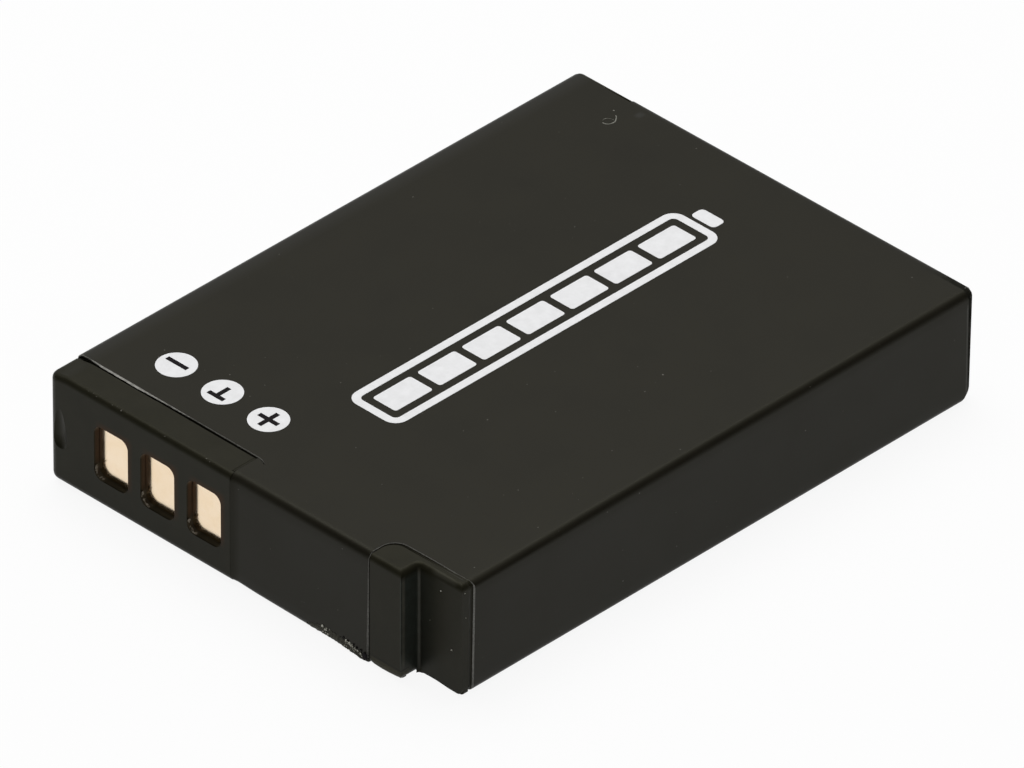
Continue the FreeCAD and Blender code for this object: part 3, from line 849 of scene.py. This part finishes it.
def buildChargeSign():
    top = boxOf("wrap_label")[1].z - filmWrap["inkRoom"]
    z0, z1 = top - chargeSign["inkHeight"] / 2, top + chargeSign["inkHeight"]
    x0, x1 = chargeSign["startX"], chargeSign["startX"] + chargeSign["length"]
    y0 = chargeSign["middleY"] - chargeSign["height"] / 2
    y1 = y0 + chargeSign["height"]
    line, corner, gap = chargeSign["line"], chargeSign["corner"], chargeSign["barGap"]
    bm = bmesh.new()
    addField(bm, roundedField(x0, x1, y0, y1, corner), z0, z1,
             roundedField(x0 + line, x1 - line, y0 + line, y1 - line, corner - line))
    nubX, nubY = x1 + gap / 2, chargeSign["middleY"] - chargeSign["nubHeight"] / 2
    addField(bm, roundedField(nubX, nubX + chargeSign["nubLength"], nubY, nubY + chargeSign["nubHeight"],
                              chargeSign["nubCorner"]), z0, z1)
    inner0, inner1 = x0 + line + gap, x1 - line - gap
    width = (inner1 - inner0 - gap * (chargeSign["bars"] - 1)) / chargeSign["bars"]
    for i in range(chargeSign["bars"]):
        barX = inner0 + i * (width + gap)
        addField(bm, roundedField(barX, barX + width, y0 + line + gap, y1 - line - gap,
                                  chargeSign["barCorner"]), z0, z1)
    inkPiece("chargeSign", bm, whiteInk)


buildChargeSign()
print("print laid on the film")


# wear: small loose bits and marks, each on the surface that carries it

def interpolate(stations, at):
    for (first, low), (second, high) in zip(stations, stations[1:]):
        if min(first, second) - close <= at <= max(first, second) + close:
            return low + (high - low) * (at - first) / (second - first)
    return stations[-1][1]


def sectionRing(bm, y, section):
    return [bm.verts.new((x, y, z)) for x, z in section]


def contactEdgeAt(y):
    tongueNear = packHigh.y - filmWrap["tongueInset"]
    return packLow.x + filmWrap["contactEdge"] + filmWrap["contactSlope"] * (y - tongueNear)


def joinRings(bm, rings):
    for first, second in zip(rings, rings[1:]):
        for i in range(len(first)):
            k = (i + 1) % len(first)
            bm.faces.new((first[i], first[k], second[k], second[i]))
    bm.faces.new(rings[0])
    bm.faces.new(rings[-1])
    bmesh.ops.recalc_face_normals(bm, faces=bm.faces)


def wearMaterial(name, dark, light, sizeMm, rough=0.7, bumpMm=0.004, specular=0.2):
    return mottledMaterial(name, dark, light, sizeMm, rough, 0.0, bumpMm, specular)


def wearPiece(name, bm, material, sharpDeg=50):
    piece = meshPiece(name, bm, [material])
    smoothShade(piece, sharpDeg)
    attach(piece, "root")


def addGrain(bm, draw, centre, size):
    centre = Vector(centre)
    place = Matrix.Translation(centre)
    made = bmesh.ops.create_icosphere(bm, subdivisions=1, radius=size / 2, matrix=place)
    for vert in made["verts"]:
        arm = vert.co - centre
        arm.x *= draw.uniform(0.5, 1.1)
        arm.y *= draw.uniform(0.5, 1.4)
        arm.z *= draw.uniform(0.5, 1.2)
        vert.co = centre + arm


# cap plastic under the film's cut edge: it leaves only a narrow dark line beside the film
capSeam = {
    "gap": 0.18,
    "uprightGap": 0.25,
    "contactSpan": (9.4, 1.5),
    "tongueSpan": (0.40, 2.19),      # along the tongue's near edge, from the contact end
    "tongueGap": 0.07,
    "tongueReach": 0.3,
    "tongueBevel": 0.05,
    "keyTuck": 0.15,         # how far it starts beyond the key's cut-out
    "sideFoot": 0.6,         # how far down it goes at the side
    "step": 0.3,
    "bevel": 0.03,
    "reach": 0.12,           # how far it goes under the land
    "drop": 0.015,
    "depth": 0.2,
    "keyLand": 1.99,         # where the lands end, from the contact end
    "contactLand": 2.18,
}


def buildSeam():
    low, high = boxOf("terminal_cap")
    tongueNear = packHigh.y - filmWrap["tongueInset"]
    keyStart = tongueNear - filmWrap["tongueWidth"] - filmWrap["keyCutRadius"]
    drop, depth, bevel = capSeam["drop"], capSeam["depth"], capSeam["bevel"]
    radius = filmWrap["edgeRadius"]
    top, side = high.z - drop, low.y + drop
    centre = (side + radius, top - radius)
    bm = bmesh.new()

    def strip(path):
        rings = []
        for x0, x1, y, z, out in path:
            section = ((x0, depth), (x0, 0), (x1 - bevel, 0), (x1, bevel), (x1, depth))
            rings.append([bm.verts.new((x, y - out[0] * sunk, z - out[1] * sunk)) for x, sunk in section])
        joinRings(bm, rings)

    # round the key: along the top, round the corner and down the side
    points = [(y, top, 90) for y in spread(keyStart - capSeam["keyTuck"], centre[0], capSeam["step"])]
    for angle in range(100, 180, 10):
        turn = math.radians(angle)
        points.append((centre[0] + radius * math.cos(turn), centre[1] + radius * math.sin(turn), angle))
    points += [(side, z, 180) for z in spread(centre[1], capSeam["sideFoot"], capSeam["step"])]
    path = []
    for y, z, angle in points:
        turn = math.radians(angle)
        along = min(1.0, (keyStart - y) / (keyStart - centre[0]))
        aside = (angle - 90) / 90
        fall = (packHigh.z - z) / packHigh.z
        edge = filmWrap["keyEdge"] + filmWrap["keySlope"] * along
        edge += aside * (filmWrap["keySideStep"] - filmWrap["keySideSlope"] * fall)
        gap = capSeam["gap"] + (capSeam["uprightGap"] - capSeam["gap"]) * aside
        path.append((packLow.x + capSeam["keyLand"] - capSeam["reach"], packLow.x + edge - gap, y, z,
                     (math.cos(turn), math.sin(turn))))
    strip(path)

    # along the film's front edge beside the contacts
    landX = packLow.x + capSeam["contactLand"] - capSeam["reach"]
    places = spread(*capSeam["contactSpan"], capSeam["step"])
    strip([(landX, contactEdgeAt(y) - capSeam["gap"], y, top, (0, 1)) for y in places])

    # along the tongue's near edge
    first, last = [packLow.x + mark for mark in capSeam["tongueSpan"]]
    y0 = tongueNear + capSeam["tongueGap"]
    section = ((first, top - depth), (first + capSeam["tongueBevel"], top), (last, top), (last, top - depth))
    joinRings(bm, [sectionRing(bm, y, section) for y in (y0, y0 + capSeam["tongueReach"])])
    wearPiece("capSeam", bm, capBlack)


buildSeam()


# strip of the white liner that shows in the groove along the film's edge: widths along Y
linerStrip = {
    "widths": ((15.0, 0.02), (14.3, 0.09), (13.4, 0.13), (12.6, 0.11), (11.0, 0.13), (10.2, 0.08),
               (9.3, 0.05), (8.0, 0.04), (6.2, 0.0)),
    "step": 0.15,
    "rise": 0.025,           # above the bare land beside it
    "tuck": 0.05,            # how far it goes in under the film
    "depth": 0.06,
    "waver": 0.03,
    "dark": (0.16, 0.155, 0.14),
    "light": (0.40, 0.39, 0.36),
}


def buildLiner():
    draw = random.Random(4)
    widths = linerStrip["widths"]
    top = boxOf("terminal_cap")[1].z + linerStrip["rise"]
    foot = top - linerStrip["depth"]
    bm = bmesh.new()
    rings = []
    for y in spread(widths[0][0], widths[-1][0], linerStrip["step"]):
        width, edge = interpolate(widths, y), contactEdgeAt(y)
        outer = edge - width - min(width, linerStrip["waver"]) * draw.random()
        inner = edge + linerStrip["tuck"]
        section = ((inner, foot), (outer - 0.005, foot), (outer - 0.005, top - 0.03),
                   (outer + 0.3 * width, top - 0.01), (inner, top))
        rings.append(sectionRing(bm, y, section))
    joinRings(bm, rings)
    liner = wearMaterial("paleLiner", linerStrip["dark"], linerStrip["light"], 0.3, bumpMm=0.01)
    wearPiece("linerStrip", bm, liner)


buildLiner()


# worn foot of the contact end's tongue: a torn, raised band with crumbs on it, and black pieces over it as
# painted shadow
wornFoot = {
    "tops": ((-4.9, 0.40), (-5.6, 0.72), (-6.4, 0.84), (-7.6, 0.80), (-8.4, 0.72), (-9.2, 0.52),
             (-9.8, 0.40)),
    "bends": ((-4.9, 0.55), (-6.8, 0.52), (-7.6, 0.48), (-8.4, 0.38), (-9.2, 0.25), (-9.8, 0.25)),
    "proud": ((-4.9, 0.0), (-5.5, 0.01), (-6.9, 0.014), (-7.6, 0.045), (-8.2, 0.055), (-9.5, 0.06),
              (-9.8, 0.0)),
    "step": 0.07,
    "bendSteps": 7,
    "rough": 0.022,
    "ragged": 0.07,
    "reach": 0.35,           # how far it goes back under the pack
    "dark": (0.030, 0.030, 0.023),
    "light": (0.11, 0.105, 0.080),
    "crumbs": ((-5.9, -6.8, 10), (-7.9, -9.5, 44)),
    "crumbSize": (0.07, 0.14),
    "bigCrumbs": ((-6.22, 0.80), (-6.42, 0.66), (-6.52, 0.70), (-8.12, 0.73), (-8.42, 0.66), (-8.54, 0.60),
                  (-8.64, 0.58), (-8.82, 0.56), (-9.05, 0.48), (-9.30, 0.44)),
    "bigSize": (0.14, 0.21),
    "pale": (0.88, 0.87, 0.78),
    "dull": (0.34, 0.33, 0.26),
    "shadowGap": (-9.66, 0.42),
    "shadowGapSize": (0.05, 0.46, 0.56),
    "shadows": ((-7.9, 0.86), (-8.3, 0.82), (-8.7, 0.76), (-9.0, 0.70), (-9.3, 0.66)),
    "shadowSize": (0.14, 0.24),
}


def buildWornFoot():
    draw = random.Random(11)
    face, foot = boxOf("wrap_label")[0].x, packLow.z
    limit = packLow.x
    tops = wornFoot["tops"]
    bm = bmesh.new()
    rings = []
    for y in spread(tops[0][0], tops[-1][0], wornFoot["step"]):
        top, bend = interpolate(tops, y), interpolate(wornFoot["bends"], y)
        proud = interpolate(wornFoot["proud"], y)
        top += wornFoot["ragged"] * draw.uniform(-1, 1)
        outer = face - proud
        middleX = outer + bend
        lower = min(bend, top - 0.04)
        backX = middleX + wornFoot["reach"]
        section = [(face + 0.03, top), (face - 0.012, top - 0.02),
                   (face - 0.4 * proud, (top - 0.02 + lower) / 2), (outer, lower)]
        for x, z in bendPoints((middleX, foot + bend), bend, 180, 270, wornFoot["bendSteps"]):
            section.append((x, min(z, section[-1][1] - 0.002)))
        section += [(middleX, foot), (backX, foot), (backX, foot + 0.05), (middleX + 0.1, foot + 0.12),
                    (face + bend * 0.4, foot + bend)]
        ring = []
        for i, (x, z) in enumerate(section):
            if 1 <= i <= 10:         # the points that show are roughened
                x += wornFoot["rough"] * draw.uniform(-1, 1)
                z += wornFoot["rough"] * draw.uniform(-1, 1)
            ring.append(bm.verts.new((max(limit, x), y, max(foot, z))))
        rings.append(ring)
    joinRings(bm, rings)
    band = wearMaterial("tornBand", wornFoot["dark"], wornFoot["light"], 0.22, 0.6, 0.02, 0.15)
    wearPiece("wornFoot", bm, band, 35)
    crumbs = bmesh.new()
    places = [draw.uniform(first, last) for first, last, count in wornFoot["crumbs"] for i in range(count)]
    for y in places:
        z = draw.uniform(0.25, interpolate(tops, y) + 0.02)
        size = draw.uniform(*wornFoot["crumbSize"])
        bend, proud = interpolate(wornFoot["bends"], y), interpolate(wornFoot["proud"], y)
        sink = max(0.0, bend - z)
        x = face - proud + bend - math.sqrt(max(0.0, bend * bend - sink * sink))
        addGrain(crumbs, draw, (max(x, limit + size * 0.6), y, z), size)
    for y, z in wornFoot["bigCrumbs"]:
        size = draw.uniform(*wornFoot["bigSize"])
        addGrain(crumbs, draw, (max(face - 0.04, limit + size * 0.4), y, z), size)
    # painted shadow: black pieces stand for the shade in the gap above the band
    shadowGap = bmesh.new()
    y, z = wornFoot["shadowGap"]
    bmesh.ops.create_icosphere(shadowGap, subdivisions=3, radius=0.5)
    for vert in shadowGap.verts:
        sizes = Vector(wornFoot["shadowGapSize"]) * draw.uniform(0.85, 1.0)
        vert.co = Vector((face - 0.05, y, z)) + vert.co * sizes
    for y, z in wornFoot["shadows"]:
        addGrain(shadowGap, draw, (face + 0.03, y, z), draw.uniform(*wornFoot["shadowSize"]))
    for vert in (*crumbs.verts, *shadowGap.verts):
        vert.co.x = max(limit, vert.co.x)
    grit = wearMaterial("paleGrit", wornFoot["dull"], wornFoot["pale"], 0.25)
    wearPiece("footCrumbs", crumbs, grit)
    wearPiece("footShadowGap", shadowGap, blackInkAndShadow)
    return grit


paleGrit = buildWornFoot()


# fuller foot of the cap beside the key: its lower edge is less rounded there
keyFoot = {
    "fullness": ((-9.96, 0.0), (-10.3, 0.75), (-10.9, 1.0), (-11.5, 0.95), (-12.2, 0.6), (-12.42, 0.2)),
    "level": 0.16,
    "top": 0.7,
    "back": 0.6,
    "radius": 0.5,
    "fullRadius": 0.24,
    "inset": 0.008,          # inside the cap's own faces where it fades out
    "fullInset": 0.002,
    "step": 0.1,
    "bendSteps": 8,
}


def buildKeyFoot():
    places = keyFoot["fullness"]
    backX = packLow.x + keyFoot["back"]
    bm = bmesh.new()
    rings = []
    for y in spread(places[0][0], places[-1][0], keyFoot["step"]):
        full = interpolate(places, y)
        radius = keyFoot["radius"] + (keyFoot["fullRadius"] - keyFoot["radius"]) * full
        inset = keyFoot["inset"] + (keyFoot["fullInset"] - keyFoot["inset"]) * full
        faceX, foot = packLow.x + inset, keyFoot["level"] + inset
        bend = bendPoints((faceX + radius, foot + radius), radius, 180, 270, keyFoot["bendSteps"])
        section = ((faceX, keyFoot["top"]), *bend, (backX, foot), (backX, keyFoot["top"]))
        rings.append(sectionRing(bm, y, section))
    joinRings(bm, rings)
    wearPiece("keyFoot", bm, capBlack)


buildKeyFoot()


# sharper lower corner of the key at the -Y side: height, inset and corner radius of its rings
cornerFoot = {
    "rings": ((0.162, 0.10, 0.08), (0.19, 0.05, 0.12), (0.24, 0.02, 0.14), (0.32, 0.006, 0.15),
              (0.42, 0.004, 0.17), (0.80, 0.004, 0.30), (1.40, 0.006, 0.45)),
    "setback": 1.44,
    "span": (0.5, 0.7),
    "bendSteps": 6,
}


def buildCornerFoot():
    spanX, spanY = cornerFoot["span"]
    bm = bmesh.new()
    rings = []
    for z, inset, radius in cornerFoot["rings"]:
        x0 = packLow.x + cornerFoot["setback"] + inset
        y0 = boxOf("terminal_cap")[0].y + inset
        bend = bendPoints((x0 + radius, y0 + radius), radius, 180, 270, cornerFoot["bendSteps"])
        section = [(x0, y0 + spanY), (x0, y0 + radius), *bend, (x0 + radius, y0), (x0 + spanX, y0),
                   (x0 + spanX, y0 + spanY)]
        rings.append([bm.verts.new((x, y, z)) for x, y in section])
    joinRings(bm, rings)
    wearPiece("cornerFoot", bm, capBlack)


buildCornerFoot()


# dust: grains in the lower corners of the windows, on the key and its side
looseDust = {
    "windowGrains": 24,
    "windowSize": (0.08, 0.15),
    "windowTurn": (-95, 25),         # round the rounded corner, in degrees
    "windowSink": (0.15, 0.5),       # into its wall, in shares of a grain
    "windowDepth": (0.09, 0.22),
    "dull": (0.15, 0.125, 0.09),
    "pale": (0.46, 0.41, 0.33),
    "rimSpecks": ((12.9, 58), (12.5, 66), (12.2, 55), (10.9, 60), (10.6, 68), (10.2, 56), (9.8, 64),
                  (9.5, 52), (6.6, 50), (3.3, 64), (3.0, 54)),
    "rimRadius": 0.4,
    "rimSink": 0.3,
    "rimSize": (0.10, 0.17),
    "rimDull": (0.06, 0.058, 0.047),
    "rimPale": (0.19, 0.18, 0.15),
    "keyFace": ((-15.25, 2.99, 0.13), (-14.36, 6.66, 0.08), (-13.49, 4.19, 0.05)),
    "keySide": ((-20.12, 7.20, 0.12), (-20.04, 5.46, 0.08)),
    "keyDepth": 1.44,
}


def buildDust():
    draw = random.Random(21)
    grit = wearMaterial("windowGrit", looseDust["dull"], looseDust["pale"], 0.2)
    middleZ = packHigh.z / 2
    halfY, halfZ = capWindows["half"]
    corner = capWindows["corner"]
    windows = bmesh.new()
    for centre in capWindows["centres"]:
        for i in range(looseDust["windowGrains"]):
            size = draw.uniform(*looseDust["windowSize"])
            turn = math.radians(draw.uniform(*looseDust["windowTurn"]))
            arm = corner - size * draw.uniform(*looseDust["windowSink"])
            y = centre + halfY - corner + arm * math.cos(turn)
            z = middleZ - halfZ + corner + arm * math.sin(turn)
            addGrain(windows, draw, (packLow.x + draw.uniform(*looseDust["windowDepth"]), y, z), size)
    wearPiece("windowDust", windows, grit)
    rim = bmesh.new()
    radius = looseDust["rimRadius"]
    landTop = boxOf("terminal_cap")[1].z
    for y, angle in looseDust["rimSpecks"]:
        size, turn = draw.uniform(*looseDust["rimSize"]), math.radians(angle)
        arm = radius - size * looseDust["rimSink"]
        x, z = packLow.x + radius - arm * math.cos(turn), landTop - radius + arm * math.sin(turn)
        addGrain(rim, draw, (x, y, z), size)
    dull = wearMaterial("rimGrit", looseDust["rimDull"], looseDust["rimPale"], 0.2, 0.6, specular=0.15)
    wearPiece("rimDust", rim, dull)
    specks = bmesh.new()
    keyX = packLow.x + looseDust["keyDepth"]
    sideY = boxOf("terminal_cap")[0].y
    for y, z, size in looseDust["keyFace"]:
        addGrain(specks, draw, (keyX - size * 0.1, y, z), size)
    for x, z, size in looseDust["keySide"]:
        addGrain(specks, draw, (x, sideY + size * 0.15, z), size)
    for vert in specks.verts:
        vert.co.y = max(packLow.y, vert.co.y)
    wearPiece("keyDust", specks, paleGrit)


buildDust()


# hooked scuff on the film's top near the far end
topScuff = {
    "strokes": (((19.19, 10.64), (19.47, 10.83), (19.68, 11.06)),
                ((18.61, 11.10), (18.74, 10.74), (19.18, 10.65)),
                ((18.77, 11.26), (19.14, 11.21), (19.27, 10.80))),
    "widths": (0.11, 0.12, 0.075),
    "steps": 6,
    "dot": (19.96, 11.51, 0.17),
    "height": 0.016,
    "sunk": 0.01,
    "dark": (0.09, 0.09, 0.076),
    "light": (0.27, 0.27, 0.23),
}


def buildScuff():
    draw = random.Random(33)
    top = packHigh.z - filmWrap["inkRoom"]
    bm = bmesh.new()
    for stroke, width in zip(topScuff["strokes"], topScuff["widths"]):
        rings = []
        start, middle, end = [Vector(point) for point in stroke]
        bow = middle * 2 - (start + end) / 2
        shares = [i / topScuff["steps"] for i in range(topScuff["steps"] + 1)]
        points = [start * (1 - t) ** 2 + bow * 2 * t * (1 - t) + end * t ** 2 for t in shares]
        for i, point in enumerate(points):
            before, after = points[max(0, i - 1)], points[min(len(points) - 1, i + 1)]
            run = (after - before).normalized()
            side = Vector((-run.y, run.x)) * width / 2 * draw.uniform(0.7, 1.1)
            crest = top + topScuff["height"] * draw.uniform(0.7, 1.0)
            foot = top - topScuff["sunk"]
            corners = ((*(point + side), foot), (*(point - side), foot), (*point, crest))
            rings.append([bm.verts.new(corner) for corner in corners])
        joinRings(bm, rings)
    x, y, size = topScuff["dot"]
    addGrain(bm, draw, (x, y, top - size * 0.2), size)
    for vert in bm.verts:
        vert.co.z = min(packHigh.z, vert.co.z)
    mark = wearMaterial("paleScuff", topScuff["dark"], topScuff["light"], 0.2, 0.6)
    wearPiece("topScuff", bm, mark)


buildScuff()
print("wear added")


# pale floor: white to the camera, but it keeps the soft shadow; clear from below
studio = {
    "floorSize": 3.0,
    "floorTone": (0.86, 0.86, 0.86),
    "cameraWhite": 0.91,
    "backDirection": (0.583, 0.575, 0.573),
    "backFrom": (0.40, 0.80),
    "backBright": 0.65,
    "roomDark": 0.08,
    "underBright": 0.6,      # reaches only the underside, through the floor's clear back
    "underFrom": (-0.30, -0.05),
    "topPower": 5.95,
    "topSize": 0.7,
    "topPlace": (0.12, 0.18, 0.8),
}


def buildFloor():
    bm = bmesh.new()
    half = studio["floorSize"] / 2 / mm
    corners = ((-half, -half, 0), (half, -half, 0), (half, half, 0), (-half, half, 0))
    bm.faces.new([bm.verts.new(corner) for corner in corners])
    material = bpy.data.materials.new("paleFloor")
    material.use_nodes = True
    tree = material.node_tree
    tree.nodes.clear()
    output = addNode(tree, "ShaderNodeOutputMaterial")
    diffuse = addNode(tree, "ShaderNodeBsdfDiffuse", {"Color": (*studio["floorTone"], 1)})
    white = addNode(tree, "ShaderNodeEmission", {"Color": (1, 1, 1, 1), "Strength": 1.0})
    rays = addNode(tree, "ShaderNodeLightPath")
    seen = larger(tree, rays.outputs["Is Camera Ray"], rays.outputs["Is Glossy Ray"])
    seen = larger(tree, seen, rays.outputs["Is Transmission Ray"])
    share = product(tree, seen, studio["cameraWhite"])
    surface = addNode(tree, "ShaderNodeMixShader", {0: share, 1: diffuse.outputs[0], 2: white.outputs[0]})
    clear = addNode(tree, "ShaderNodeBsdfTransparent")
    under = addNode(tree, "ShaderNodeNewGeometry").outputs["Backfacing"]
    both = addNode(tree, "ShaderNodeMixShader", {0: under, 1: surface.outputs[0], 2: clear.outputs[0]})
    tree.links.new(both.outputs[0], output.inputs["Surface"])
    floor = meshPiece("floor", bm, [material])


def buildWorld():
    world = bpy.data.worlds.new("studioRoom")
    bpy.context.scene.world = world
    world.use_nodes = True
    tree = world.node_tree
    tree.nodes.clear()
    output = addNode(tree, "ShaderNodeOutputWorld")
    direction = addNode(tree, "ShaderNodeTexCoord").outputs["Generated"]
    back = Vector(studio["backDirection"]).normalized()
    facing = addNode(tree, "ShaderNodeVectorMath", {0: direction, 1: back}, operation="DOT_PRODUCT")
    height = addNode(tree, "ShaderNodeSeparateXYZ", {0: direction}).outputs["Z"]
    level = larger(tree, remap(tree, facing.outputs["Value"], *studio["backFrom"],
                               studio["roomDark"], studio["backBright"]),
                   remap(tree, height, *studio["underFrom"], studio["underBright"], 0.0))
    room = addNode(tree, "ShaderNodeBackground", {"Color": (1, 1, 1, 1), "Strength": level})
    white = addNode(tree, "ShaderNodeBackground", {"Color": (1, 1, 1, 1), "Strength": 1.0})
    seen = addNode(tree, "ShaderNodeLightPath").outputs["Is Camera Ray"]
    both = addNode(tree, "ShaderNodeMixShader", {0: seen, 1: room.outputs[0], 2: white.outputs[0]})
    tree.links.new(both.outputs[0], output.inputs["Surface"])


def buildLamp():
    lamp = bpy.data.lights.new("topSoftbox", "AREA")
    lamp.energy = studio["topPower"]
    lamp.size = studio["topSize"]
    holder = bpy.data.objects.new("topSoftbox", lamp)
    holder.location = studio["topPlace"]
    holder.rotation_mode = "QUATERNION"
    holder.rotation_quaternion = (-Vector(studio["topPlace"])).to_track_quat("-Z", "Y")
    bpy.context.scene.collection.objects.link(holder)


buildFloor()
buildWorld()
buildLamp()


# camera at the photograph's viewing angle, with a long lens; degrees and millimetres
photoCamera = {
    "azimuth": -45.43949,
    "elevation": 34.94219,
    "roll": 0.21502,
    "lens": 779.166,
    "sensor": 36.0,
    "distance": 1279.89,
    "aimRight": -0.06079,
    "aimUp": 3.12092,
}


def buildCamera():
    turn, rise = math.radians(photoCamera["azimuth"]), math.radians(photoCamera["elevation"])
    back = Vector((math.sin(turn) * math.cos(rise), -math.cos(turn) * math.cos(rise), math.sin(rise)))
    right = Vector((math.cos(turn), math.sin(turn), 0))
    up = back.cross(right)
    lean = math.radians(photoCamera["roll"])
    rightLean = right * math.cos(lean) + up * math.sin(lean)
    upLean = up * math.cos(lean) - right * math.sin(lean)
    eye = rightLean * photoCamera["aimRight"] + upLean * photoCamera["aimUp"]
    eye += back * photoCamera["distance"]
    lens = bpy.data.cameras.new("photoView")
    lens.lens = photoCamera["lens"]
    lens.sensor_width = photoCamera["sensor"]
    lens.sensor_fit = "HORIZONTAL"
    lens.clip_start, lens.clip_end = 0.05, 20
    camera = bpy.data.objects.new("photoView", lens)
    turned = Matrix((rightLean, upLean, back)).transposed().to_4x4()
    camera.matrix_world = Matrix.Translation(eye * mm) @ turned
    bpy.context.scene.collection.objects.link(camera)
    bpy.context.scene.camera = camera


buildCamera()
bpy.context.scene.view_settings.view_transform = "Standard"
print("studio ready")
